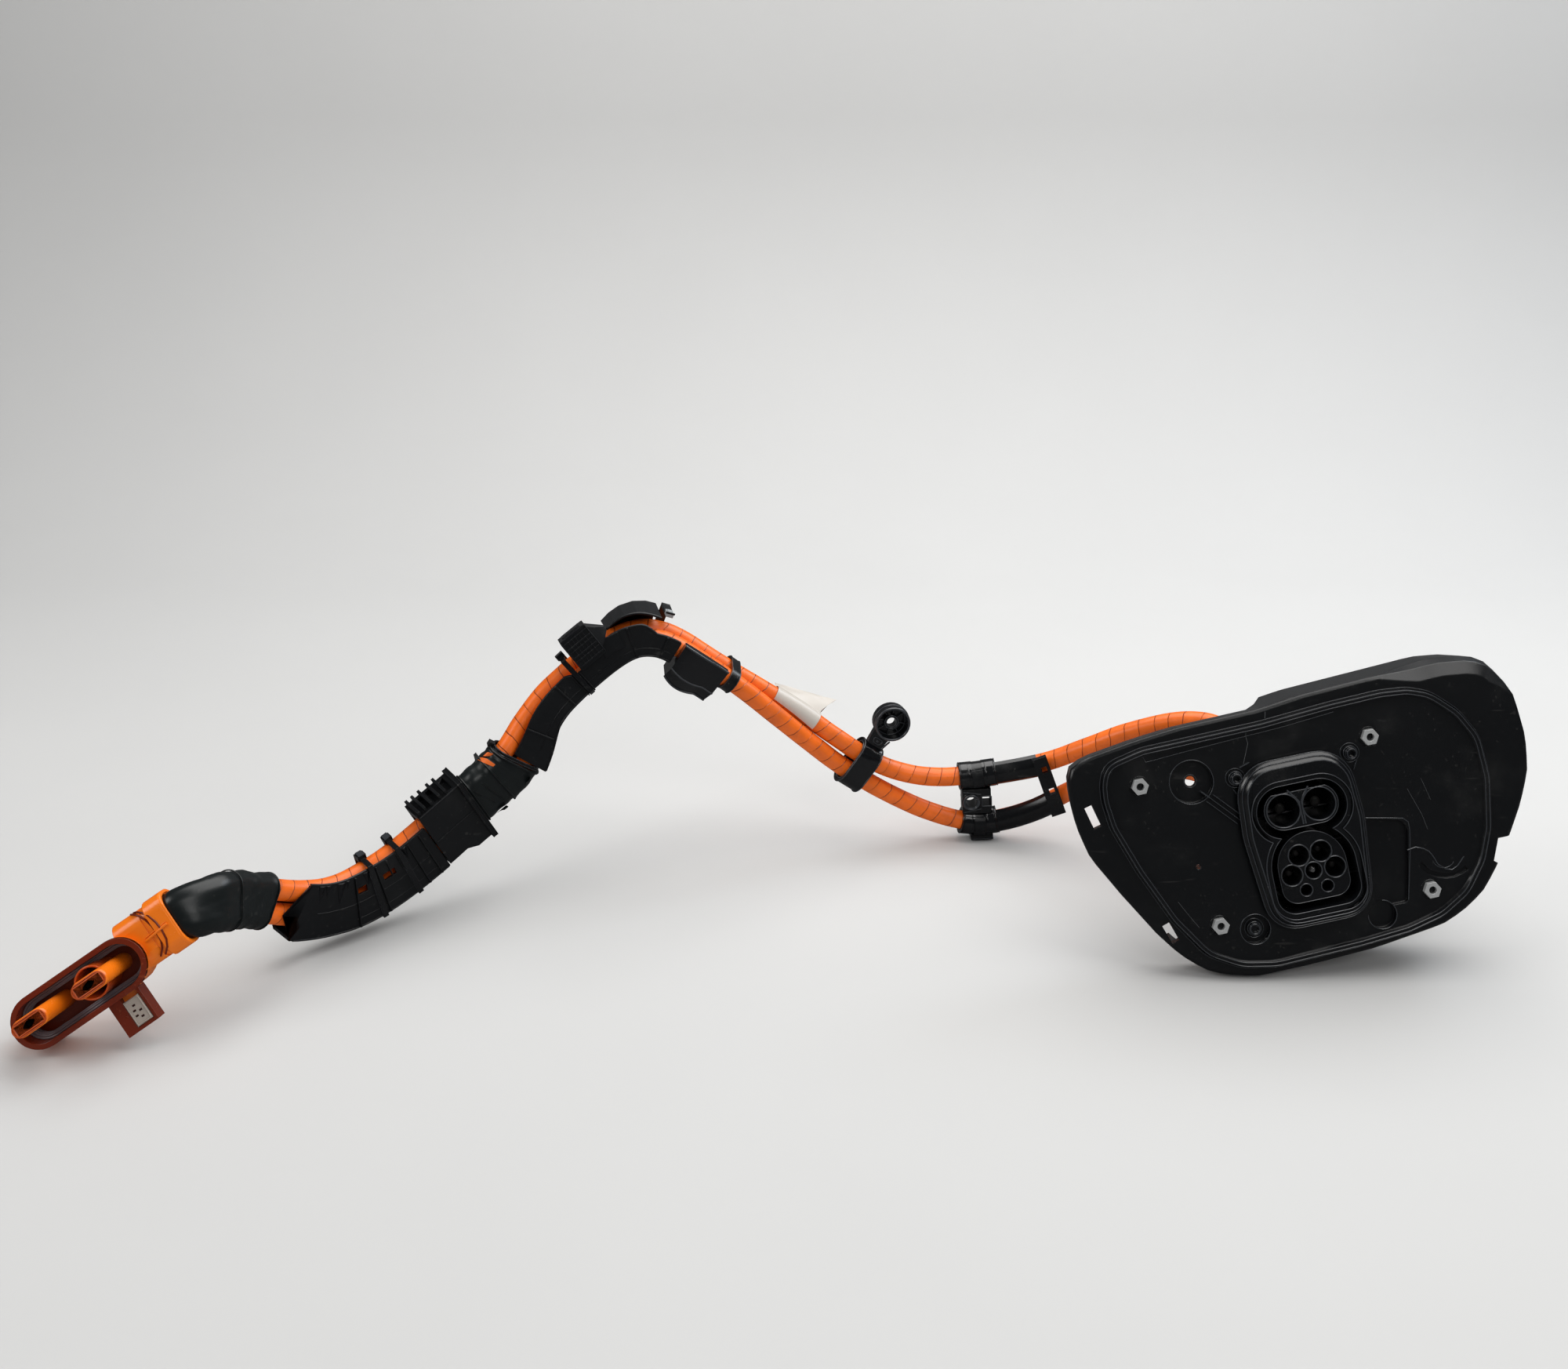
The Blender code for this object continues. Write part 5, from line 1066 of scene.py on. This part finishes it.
def build_lower_fittings():
    refined_all("lower_duct duct_block", "duct", sharp=26)
    refined_all("cable_tie_1 cable_tie_2 cable_tie_3 cable_tie_5", "black", sharp=26)
    ribs = [cross_rib(s, -16.6, 28.6, 1.9, 1.8) for s in (190, 214, 250, 262)]
    ribs += [cross_rib(s, 12, 29, 1.6, 1.5) for s in (226, 237)]
    for s, low, reach in ((151, 14, 7), (158, 19, 5), (172, 10, 9), (180, 21, 4), (203, 15, 7), (245, 17, 6)):
        here = pair_station(s)
        ribs.append(loft([laid(here, [(11.3, u, -w), (11.3 + h, u, 0.0), (11.3, u, w)])
                          for u, w, h in ((low, 0.4, 0.4), (28.8, reach / 2, 2.0))]))
    whole = (DUCT[0] + 3, DUCT[1] - 1)
    ribs.append(along_bead(whole, (10.4, 29.2), 1.25))
    ribs.append(along_bead(whole, (11.4, -16.6), 0.8))
    ribs.append(along_bead((152, 262), (11.4, 5.0), 0.5))
    ribs.append(along_bead((188, 262), (11.4, -9.0), 0.45))
    piece("duct_ribs", ribs, finish="duct")
    fins = []
    for s in (274, 280.5, 287.5, 296, 302):
        here = pair_station(s)
        top = here[4]
        fins.append(slab(here, -12.5, top + 17.0, 12.5, top + 22.6, -1.2, 1.2))
    for s, grow in ((BLOCK[1] - 0.1, 0.2), (BLOCK[1] - 3.7, 0.1)):
        here = pair_station(s)
        edge = rounded(box_outline(-16 - grow, -22, 16 + grow, here[4] + 19.5), 1.2, 3)
        fins.append(hoop_at(here, edge, 0.6))
    whole = (BLOCK[0] + 0.9, BLOCK[1] - 4)
    fins.append(along_bead(whole, lambda s, here: (13.5, here[4] + 17.8), 0.9, count=12))
    fins.append(along_bead(whole, lambda s, here: (13.5, here[4] / 2), 0.6, count=12))
    piece("block_fins", fins, finish="duct")
    shape = wrap(BAND_1[0] - 1.8, BAND_1[1] + 1.0, 0.5, 3.0)
    piece("band_wrap_1", shape, finish="sleeve", sharp=60, nodes=["rubber_band_1"])
    shape = wrap(BAND_2[0] - 1.3, BAND_2[1] + 1.8, 0.9, 7.0)
    piece("band_wrap_2", shape, finish="sleeve", sharp=60, nodes=["rubber_band_2"])
    flaps = []
    for s, turn, reach, width, lift, top in (
        (342, 84, 7, 6, 3.0, True), (331, -46, 6, 9, 3.0, False), (362, -34, 7, 7, 3.5, False)):
        here = pair_station(s)
        flaps.append(flap(here, turn, reach, width, lift, here[4] if top else 0.0, 13.4))
    for s, high, low, run in ((321, 24, 2, 9), (330, 26, -4, 8), (348, 25, 0, 9), (357, 24, -3, 8)):
        line = []
        for k in range(9):
            here = pair_station(s + run * k / 8)
            u = high + (low - high) * k / 8
            front = GRIP_R + 3.0 - 0.25 * max(0.0, -u) - 0.2 * max(0.0, u - here[4])
            line.append(laid(here, [(front, u)])[0])
        flaps.append(bead(line, 0.8, sides=6))
    for s, r in ((BAND_1[0] + 0.5, 0.7), (BAND_1[1] + 0.6, 1.0), (BAND_2[1] + 0.6, 1.0)):
        here = pair_station(s)
        flaps.append(hoop_at(here, [(*p, 0.0) for p in pair_ring(GRIP_R + 4.1, here[4], 22)], r))
    piece("band_flaps", flaps, finish="sleeve", sharp=70)
    shreds = []
    for first, last, start, end, rise in ((343.5, 352.0, 96, 22, 1.2), (350.0, 364.0, 82, 52, 2.2)):
        rows = []
        for k in range(15):
            here = pair_station(first + (last - first) * k / 14)
            a = radians(start + (end - start) * k / 14)
            r = 13.3 + rise * sin(pi * k / 14)
            half = 2.3 - 1.1 * abs(k / 7 - 1)
            strip = ((r, -half), (r, half), (r - 0.35, half), (r - 0.35, -half))
            rows.append(laid(here, [(q * cos(a), q * sin(a) + here[4], d) for q, d in strip]))
        shreds.append(loft(rows))
    piece("tape_shreds", shreds, finish="shred", sharp=70)
    heads = []
    for s, lift in ((209.0, 2.6), (240.0, 2.6)):
        here = pair_station(s)
        top = here[4] + CABLE_R + 0.9 + lift
        heads.append(slab(here, -6.6, top + 2.3, 0.6, top + 3.2, -2.6, 2.6))
        for a in (-2.2, 2.2):
            heads.append(bead(laid(here, [(12.4, u, a) for u in spread(-16, 27, 6)]), 0.35, sides=6))
    for s, width in ((BAND_2[1] + 4.4, 1.3), (HOOD[1] + 10, 4.4)):
        here = pair_station(s)
        r = CABLE_R + (3.3 if width < 2 else 2.5)
        for a in (-width, width):
            outline = [(p[0], p[1], a) for p in pair_ring(r, here[4], 22)]
            heads.append(hoop_at(here, outline, 0.4, 6))
    # Tie heads and edges in the lighter grey-black: painted highlight.
    piece("tie_edges", heads, finish="edge", sharp=50)


def build_arch_fittings():
    refined_all("arch_duct arch_cover junction_block", "duct", sharp=24)
    refined("end_boot", "gloss", sharp=24)
    here = depth_station(CLIP_AT)
    leg = [slab(here, -29.6, 4.4, -27.5, 22.4, -4, 4), slab(here, -27.5, 19.8, -12.5, 22.2, -4, 4)]
    piece("clip_leg", leg, slot=SLOT_OF["arch_clip"], finish="duct", bevel=0.3)
    head = [slab(here, -14.0, 19.3, -5.6, 23.4, -3.4, 3.4), slab(here, -12.6, 23.3, -7.0, 24.2, -2.2, 2.2)]
    piece("clip_head", head, slot=SLOT_OF["arch_clip"], finish="grey", bevel=0.5, nodes=["arch_clip"])
    refined("cable_tie_4", "black", sharp=26)
    out = GRIP_R + 2.2
    steps = [JUNCTION + d for d in (-27.0, -18.0, 15.0, 21.0, 45.0, 54.0)]

    def wall_top(s, here):
        return out - 0.8, float(np.interp(s, steps, (12.0, 6.5, 6.5, 16.0, 16.0, 8.0))) + 0.1

    def foot(s, here):
        k = (s - ARCH[0]) / (ARCH[1] - ARCH[0]) * 23
        return out, -out - 6.0 * max(0.0, 1 - k / 5)

    lips = [
        along_bead((ARCH[0] + 1, ARCH[1] - 1), wall_top, 1.2, depth_station, 70),
        along_bead((ARCH[0] + 1, ARCH[1] - 1), foot, 0.9, depth_station, 70),
        along_bead((ARCH[0] + 14, ARCH[1] - 4), (out, -4.5), 0.4, depth_station, 50),
    ]
    for s in (404, 440, 512, 540):
        here = depth_station(s)
        top = wall_top(s, here)[1]
        lips.append(slab(here, out - 0.2, -out - 0.5, out + 1.3, top, -0.8, 0.8))
    for s in (JUNCTION - 22.4, JUNCTION - 15.6):
        here = depth_station(s)
        lips.append(slab(here, out - 0.2, -out - 1.6, out + 2.2, 8.4, -0.5, 0.5))
    plate = []
    slope = [JUNCTION + d for d in (9.0, 14.0, 22.0, 27.0)]
    for s in spread(slope[0], slope[-1], 8):
        top = float(np.interp(s, slope, (20.0, 18.0, 16.4, 16.2)))
        corners = [(out - 0.3, 2.0), (out + 1.1, 2.0), (out + 1.1, top), (out - 0.3, top)]
        plate.append(laid(depth_station(s), corners))
    lips.append(loft(plate))
    piece("arch_lips", lips, finish="duct")
    here = depth_station(JUNCTION)
    marks = []
    for low, high in ((9.2, 16.5), (18.3, 25.4), (27.2, 34.6)):
        edge = [(f, u, -12.7) for f, u in rounded(box_outline(0.8, low - 0.2, 14.7, high + 0.2), 1.0, 3)]
        marks.append(hoop_at(here, edge, 0.6))
        marks.append(slab(here, 16.3, low + 0.4, 17.4, low + 1.8, -11.6, 11.6))
        marks.append(slab(here, 16.3, high - 1.2, 17.1, high - 0.2, -11.6, 11.6))
    marks.append(slab(here, -1.9, 36.3, 16.9, 38.0, -12.9, 12.9))
    marks.append(slab(here, 3.0, 37.8, 12.0, 39.2, -9.0, 9.0))
    for a in (-12.5, 12.5):
        marks.append(bead(laid(here, [(16.5, 8.0, a), (16.5, 22.0, a), (16.5, 36.5, a)]), 0.6))
    for k in range(5):
        marks.append(slab(here, 16.3, 10.0, 17.2, 34.5, -7.5 + 3.6 * k, -6.7 + 3.6 * k))
    wedge = []
    tapering = ((12.4, 0.0, 15.4, 12.0, 35.5), (17.0, 0.5, 14.5, 14.5, 31.0), (24.5, 4.0, 9.5, 20.0, 24.0))
    for a, f0, f1, u0, u1 in tapering:
        wedge.append(laid(here, [(f0, u0, a), (f1, u0, a), (f1, u1, a), (f0, u1, a)]))
    marks.append(loft(wedge))
    piece("junction_details", marks, finish="duct", bevel=0.3)

    def eave(s, here):
        return 3.2, 20.5 + 4.0 * sin(pi * (s - COVER[0]) / (COVER[1] - COVER[0]))

    covers = [along_bead(COVER, eave, 1.2, depth_station, 16)]
    here = depth_station(CLIP_AT)
    covers.append(slab(here, -6.6, 22.4, -5.4, 24.0, -4.0, 4.0))
    piece("cover_edge", covers, finish="duct")

    def hood_grow(s):
        return sin(pi * min((s - HOOD[0]) / (HOOD[1] - HOOD[0]) * 4 + 1, 4) / 5)

    def knee(s, here):
        grow = hood_grow(s)
        return 14.2 + 6 * grow, -(18.0 + 11.0 * grow) * 0.55

    def hem(s, here):
        return 11.5, -(18.0 + 11.0 * hood_grow(s)) - 0.2

    def brow(s, here):
        return 13.1 + 5 * hood_grow(s), 10.0

    # Fold beads in the lighter grey-black: painted highlight along the hood's folds.
    folds = [along_bead(HOOD, at, r, depth_station, 24) for at, r in ((knee, 0.8), (hem, 1.0), (brow, 1.0))]
    piece("hood_folds", folds, finish="edge", sharp=60)


def build_label_and_clip():
    sides = 22
    rows = []
    r = CABLE_R + 1.0
    for k, s in enumerate(spread(*LABEL, 15)):
        here = pair_station(s, NEGATIVE, POSITIVE)
        t = k / 14
        line = [(r * cos(a), r * sin(a)) for a in np.linspace(radians(58), radians(-82), sides)]
        reach = 10.0 + 17.0 * t**1.3
        leave = line[-1]
        for step in spread(0.12, 1.0, 7):
            curl = 1.3 * noise.noise(Vector((s * 0.09, step * 2, 4.0)))
            x = leave[0] - 0.26 * reach * step + curl * step
            line.append((x, leave[1] - reach * step * (1 - 0.22 * step)))
        line = np.array(line)
        ahead = np.gradient(line, axis=0)
        ahead /= np.linalg.norm(ahead, axis=1)[:, None]
        away = np.stack([ahead[:, 1], -ahead[:, 0]], axis=1) * 0.16
        lean = [9.0 * max(0.0, (i - sides) / 6) * t for i in range(len(line))]
        section = [(*p, a) for p, a in zip(line + away, lean)]
        section += [(*p, a) for p, a in zip(line - away, lean)][::-1]
        rows.append(laid(here, section))
    piece("label_film", loft(rows), finish="film", sharp=60, nodes=["cable_label"])
    refined("p_clip_grommet", "rubber", sharp=50)
    refined("p_clip", "gloss", sharp=26)
    here = pair_station(P_CLIP)
    origin, tangent, front, up, spacing = here
    axes = axes_of(tangent, up, front, origin)
    high = spacing + CABLE_R + 0.9
    cup_y = spacing + 40.0
    window = ((-3.6, high + 6.5), (3.6, high + 6.5), (5.0, cup_y - 19), (-5.0, cup_y - 19))
    # The clip's rims, ribs and spokes in the lighter grey-black: painted highlight.
    rims = [
        ring(0, cup_y, 8.0, 15.1, 1.1), ring(0, cup_y, -1.7, 13.6, 0.6), ring(0, cup_y, 2.5, 6.2, 0.55),
        ring(0, cup_y, 2.6, 4.7, 0.4), ring(0, cup_y, -1.9, 9.6, 0.4), ring(0, cup_y, 2.0, 16.2, 0.5),
        bead([(-7.6, high + 4.5, 2.8), (-10.0, cup_y - 16, 2.8)], 0.9),
        bead([(7.6, high + 4.5, 2.8), (10.0, cup_y - 16, 2.8)], 0.9),
        hoop(rounded(window, 2.4, 4), 2.9, 0.7),
        ridge([(0, high + 8), (0, cup_y - 20.5)], 2.4, 2.6, 3.7),
    ]
    for k in range(8):
        a = tau * (k + 0.5) / 8
        spoke = [(r * cos(a), cup_y + r * sin(a)) for r in (6.9, 13.8)]
        rims.append(ridge(spoke, 0.9, -2.2, 0.2))
    piece("clip_rims", rims, axes, finish="edge", sharp=50)
    # Strap edges in the lighter grey-black: painted highlight.
    straps = []
    for d, grow in ((-10.0, 5.2), (10.0, 5.2), (-9.6, 2.0), (9.6, 2.0)):
        outline = [(p[0], p[1], d) for p in pair_ring(CABLE_R + grow, spacing, 22)]
        straps.append(hoop_at(here, outline, 0.6))
    piece("clip_strap_edges", straps, finish="edge", sharp=50)


def axes_of(x, y, z, origin):
    turn = Matrix((x, y, z)).transposed()
    if turn.determinant() < 0:
        turn = Matrix((-x, y, z)).transposed()
    return Matrix.Translation(Vector(origin)) @ turn.to_4x4()


def build_guide():
    refined("guide_bracket", "black", sharp=26)
    refined_all("guide_cap_1 guide_cap_2", "duct", sharp=26)
    high, low = POSITIVE.at(sum(GUIDE_POSITIVE) / 2), NEGATIVE.at(sum(GUIDE_NEGATIVE) / 2)
    up = unit(high - low)
    front = unit(TOWARD_EYE - up * (TOWARD_EYE @ up))
    axes = axes_of(np.cross(up, front), up, front, (high + low) / 2)
    half = np.linalg.norm(high - low) / MM / 2
    # Rings, ridges and hole edges in the lighter grey-black: painted highlight.
    marks = [
        ring(-7, 0, 9.5, 6.9, 1.1), ring(-7, 0, 9.4, 5.6, 0.35), ring(-7, 0, 8.0, 8.3, 0.4),
        hoop(rounded(box_outline(2.6, -4.9, 11.2, 4.9), 0.8, 3), 8.1, 0.55),
        ridge([(-14, 10), (-8, 9), (2, 7)], 1.2, 7.8, 9.0),
        ridge([(-14, -10), (-8, -9), (2, -7)], 1.2, 7.8, 9.0),
        ridge([(-7, -half - 14.5), (11, -half - 14.5)], 1.0, 6.8, 7.9),
    ]
    piece("guide_marks", marks, axes, finish="edge", sharp=50)
    bands = []
    for path, span, other in ((POSITIVE, GUIDE_POSITIVE, NEGATIVE), (NEGATIVE, GUIDE_NEGATIVE, POSITIVE)):
        for s in (span[0] + 0.5, span[0] + 9, span[1] - 9, span[1] - 0.5):
            here = pair_station(s, other, path)
            bands.append(hoop_at(here, circle(0, 0, GRIP_R + 2.6, 40), 0.6, 6))
        for first, last in ((span[0] + 1.6, span[0] + 12.4), (span[1] - 12.4, span[1] - 1.6)):
            sleeve = []
            for s, r in ((first, 2.5), (first, 3.0), (last, 3.0), (last, 2.5)):
                sleeve.append(laid(pair_station(s, other, path), circle(0, 0, GRIP_R + r, 48)))
            bands.append(loft(sleeve, caps=False))
        for s in (span[0] + 0.2, span[1] - 0.2):
            here = pair_station(s, other, path)
            bands.append(hoop_at(here, circle(0, 0, GRIP_R + 0.1, 40), 0.55, 6))
    piece("guide_bands", bands, finish="gloss", sharp=50)


def build_stage():
    settings = bpy.context.scene.harness_stage
    camera = bpy.data.objects.new("camera", bpy.data.cameras.new("camera"))
    camera.location = CAMERA_AT
    camera.rotation_euler = (radians(90 - CAMERA_PITCH), 0, 0)
    camera.data.sensor_fit = "HORIZONTAL"
    camera.data.sensor_width = SENSOR
    camera.data.lens = LENS
    camera.data.shift_x, camera.data.shift_y = LENS_SHIFT
    camera.data.clip_start = 0.01
    bpy.context.scene.collection.objects.link(camera)
    bpy.context.scene.camera = camera
    sweep = [(SWEEP_Y + SWEEP_R * sin(a), SWEEP_R * (1 - cos(a))) for a in np.linspace(0, pi / 2, 16)]
    profile = [(FLOOR_FRONT, 0.0), *sweep, (SWEEP_Y + SWEEP_R, WALL_TOP)]
    verts = [(x, y, z) for y, z in profile for x in (-FLOOR_SIDE, FLOOR_SIDE)]
    faces = [(2 * k, 2 * k + 1, 2 * k + 3, 2 * k + 2) for k in range(len(profile) - 1)]
    mesh = bpy.data.meshes.new("floor")
    mesh.from_pydata(verts, [], faces)
    mesh.shade_smooth()
    floor = bpy.data.objects.new("floor", mesh)
    bpy.context.scene.collection.objects.link(floor)
    tone = tuple(settings.floor_colour)
    plain = Finish("plain_floor", tone, 0.8, specular=0.2)
    plain.tint(plain.levels(plain.field(3.0), 0.3, 0.7, 0.0, 0.25), tuple(c * 0.94 for c in tone))
    plain.tint(plain.levels(plain.field(420.0, 3.0), 0.62, 0.75, 0.0, 0.05), tuple(c * 0.8 for c in tone))
    dim = settings.reflected_room
    reflected = plain.add("ShaderNodeLightPath").outputs["Is Glossy Ray"]
    plain.tint(plain.maths("MULTIPLY", reflected, 1 - dim), (0.01, 0.01, 0.012))
    mesh.materials.append(plain.material)
    powers = (settings.top_power, settings.rear_power, settings.side_power, settings.fill_power)
    for (name, spot, aim, size, colour), power in zip(LAMPS, powers):
        data = bpy.data.lights.new(name, "AREA")
        data.shape = "RECTANGLE"
        data.size, data.size_y = size
        data.energy = power
        data.color = colour
        lamp = bpy.data.objects.new(name, data)
        lamp.location = spot
        lamp.rotation_euler = (Vector(aim) - Vector(spot)).to_track_quat("-Z", "Y").to_euler()
        bpy.context.scene.collection.objects.link(lamp)
    world = bpy.data.worlds.new("room")
    world.use_nodes = True
    background = world.node_tree.nodes["Background"]
    background.inputs["Color"].default_value = (0.97, 0.98, 1.0, 1.0)
    rays = world.node_tree.nodes.new("ShaderNodeLightPath")
    fade = world.node_tree.nodes.new("ShaderNodeMapRange")
    fade.inputs["To Min"].default_value = settings.room_strength
    fade.inputs["To Max"].default_value = settings.room_strength * dim
    world.node_tree.links.new(rays.outputs["Is Glossy Ray"], fade.inputs["Value"])
    world.node_tree.links.new(fade.outputs["Result"], background.inputs["Strength"])
    bpy.context.scene.world = world
    bpy.context.scene.view_settings.view_transform = "Standard"


class HarnessCableSettings(bpy.types.PropertyGroup):
    """Looks of the two wrapped cables."""

    tape_colour: FloatVectorProperty(
        name="Tape Colour", description="Colour of the wound tape", subtype="COLOR", size=3,
        default=(0.93, 0.165, 0.012), min=0.0, max=1.0)
    tape_pitch: FloatProperty(
        name="Tape Pitch", description="Length of cable that one turn of tape covers", default=0.0135,
        min=0.004, max=0.05, unit="LENGTH", subtype="DISTANCE")
    radius: FloatProperty(
        name="Radius", description="Radius of a wrapped cable", default=0.0085, min=0.004, max=0.012,
        unit="LENGTH", subtype="DISTANCE")


class HarnessPlasticSettings(bpy.types.PropertyGroup):
    """Looks of the moulded parts."""

    black: FloatVectorProperty(
        name="Black", description="Base colour of the black mouldings", subtype="COLOR", size=3,
        default=(0.0042, 0.0048, 0.0058), min=0.0, max=1.0)
    amber: FloatVectorProperty(
        name="Amber", description="Base colour of the connector's mouldings", subtype="COLOR", size=3,
        default=(0.93, 0.2, 0.006), min=0.0, max=1.0)
    dust: FloatProperty(
        name="Dust", description="How much dust and how many rub marks the mouldings carry", default=0.14,
        min=0.0, max=1.0, subtype="FACTOR")


class HarnessStageSettings(bpy.types.PropertyGroup):
    """Lamps, room and floor."""

    top_power: FloatProperty(
        name="Top Lamp", description="Power of the wide lamp above", default=50.0, min=0.0, max=500.0,
        unit="POWER")
    rear_power: FloatProperty(
        name="Rear Lamp", description="Power of the cool lamp behind the inlet", default=14.0,
        min=0.0, max=500.0, unit="POWER")
    side_power: FloatProperty(
        name="Side Lamp", description="Power of the lamp at the left", default=12.0, min=0.0, max=500.0,
        unit="POWER")
    fill_power: FloatProperty(
        name="Fill Lamp", description="Power of the lamp in front", default=9.0, min=0.0, max=500.0,
        unit="POWER")
    room_strength: FloatProperty(
        name="Room Light", description="Strength of the even light from all sides", default=0.3,
        min=0.0, max=5.0, subtype="FACTOR")
    reflected_room: FloatProperty(
        name="Reflected Room", description="How bright the room is in reflections", default=0.14,
        min=0.0, max=1.0, subtype="FACTOR")
    floor_colour: FloatVectorProperty(
        name="Floor Colour", description="Colour of the plain floor", subtype="COLOR", size=3,
        default=(0.56, 0.56, 0.555), min=0.0, max=1.0)


def done(step):
    """Mixes the finishes on first use, then builds one group."""
    if not FINISH:
        FINISH.update(finishes())
    step()
    return {"FINISHED"}


class HARNESS_OT_build_cables(bpy.types.Operator):
    """Build both cables with their wound tape"""

    bl_idname = "harness.build_cables"
    bl_label = "Build Cables"

    def execute(self, context):
        return done(build_cables)


class HARNESS_OT_build_carrier(bpy.types.Operator):
    """Build the inlet's carrier shell and its nuts"""

    bl_idname = "harness.build_carrier"
    bl_label = "Build Carrier"

    def execute(self, context):
        return done(build_carrier)


class HARNESS_OT_build_inlet(bpy.types.Operator):
    """Build the inlet with its sockets, screws and rear cover"""

    bl_idname = "harness.build_inlet"
    bl_label = "Build Inlet"

    def execute(self, context):
        return done(build_inlet)


class HARNESS_OT_build_connector(bpy.types.Operator):
    """Build the connector, its contacts and its slide"""

    bl_idname = "harness.build_connector"
    bl_label = "Build Connector"

    def execute(self, context):
        return done(build_connector)


class HARNESS_OT_build_boot(bpy.types.Operator):
    """Build the wrapped boot behind the connector"""

    bl_idname = "harness.build_boot"
    bl_label = "Build Boot"

    def execute(self, context):
        return done(build_boot)


class HARNESS_OT_build_lower_fittings(bpy.types.Operator):
    """Build the lower duct, its block, bands and ties"""

    bl_idname = "harness.build_lower_fittings"
    bl_label = "Build Lower Fittings"

    def execute(self, context):
        return done(build_lower_fittings)


class HARNESS_OT_build_arch_fittings(bpy.types.Operator):
    """Build the arched duct with its junction, cover, clip and hood"""

    bl_idname = "harness.build_arch_fittings"
    bl_label = "Build Arch Fittings"

    def execute(self, context):
        return done(build_arch_fittings)


class HARNESS_OT_build_label_and_clip(bpy.types.Operator):
    """Build the blank label and the clip with its eye"""

    bl_idname = "harness.build_label_and_clip"
    bl_label = "Build Label and Clip"

    def execute(self, context):
        return done(build_label_and_clip)


class HARNESS_OT_build_guide(bpy.types.Operator):
    """Build the guide bracket and its caps"""

    bl_idname = "harness.build_guide"
    bl_label = "Build Guide"

    def execute(self, context):
        return done(build_guide)


class HARNESS_OT_build_stage(bpy.types.Operator):
    """Build the floor, lamps and camera"""

    bl_idname = "harness.build_stage"
    bl_label = "Build Stage"

    def execute(self, context):
        return done(build_stage)


STEPS = (
    HARNESS_OT_build_cables, HARNESS_OT_build_carrier, HARNESS_OT_build_inlet, HARNESS_OT_build_connector,
    HARNESS_OT_build_boot, HARNESS_OT_build_lower_fittings, HARNESS_OT_build_arch_fittings,
    HARNESS_OT_build_label_and_clip, HARNESS_OT_build_guide, HARNESS_OT_build_stage,
)


class HARNESS_PT_panel(bpy.types.Panel):
    """Steps and settings of the harness"""

    bl_idname = "HARNESS_PT_panel"
    bl_label = "Charging Inlet Harness"
    bl_space_type = "VIEW_3D"
    bl_region_type = "UI"
    bl_category = "Harness"

    def draw(self, context):
        layout = self.layout
        for step in STEPS:
            layout.operator(step.bl_idname)
        scene = context.scene
        for group in (scene.harness_cable, scene.harness_plastic, scene.harness_stage):
            box = layout.box()
            for key in type(group).__annotations__:
                box.prop(group, key)


CLASSES = (HarnessCableSettings, HarnessPlasticSettings, HarnessStageSettings, *STEPS, HARNESS_PT_panel)


def register():
    for cls in CLASSES:
        bpy.utils.register_class(cls)
    bpy.types.Scene.harness_cable = PointerProperty(type=HarnessCableSettings)
    bpy.types.Scene.harness_plastic = PointerProperty(type=HarnessPlasticSettings)
    bpy.types.Scene.harness_stage = PointerProperty(type=HarnessStageSettings)


def unregister():
    del bpy.types.Scene.harness_stage
    del bpy.types.Scene.harness_plastic
    del bpy.types.Scene.harness_cable
    for cls in reversed(CLASSES):
        bpy.utils.unregister_class(cls)


def main():
    register()
    for step in STEPS:
        getattr(bpy.ops.harness, step.bl_idname.split(".")[1])()


if __name__ == "__main__":
    main()
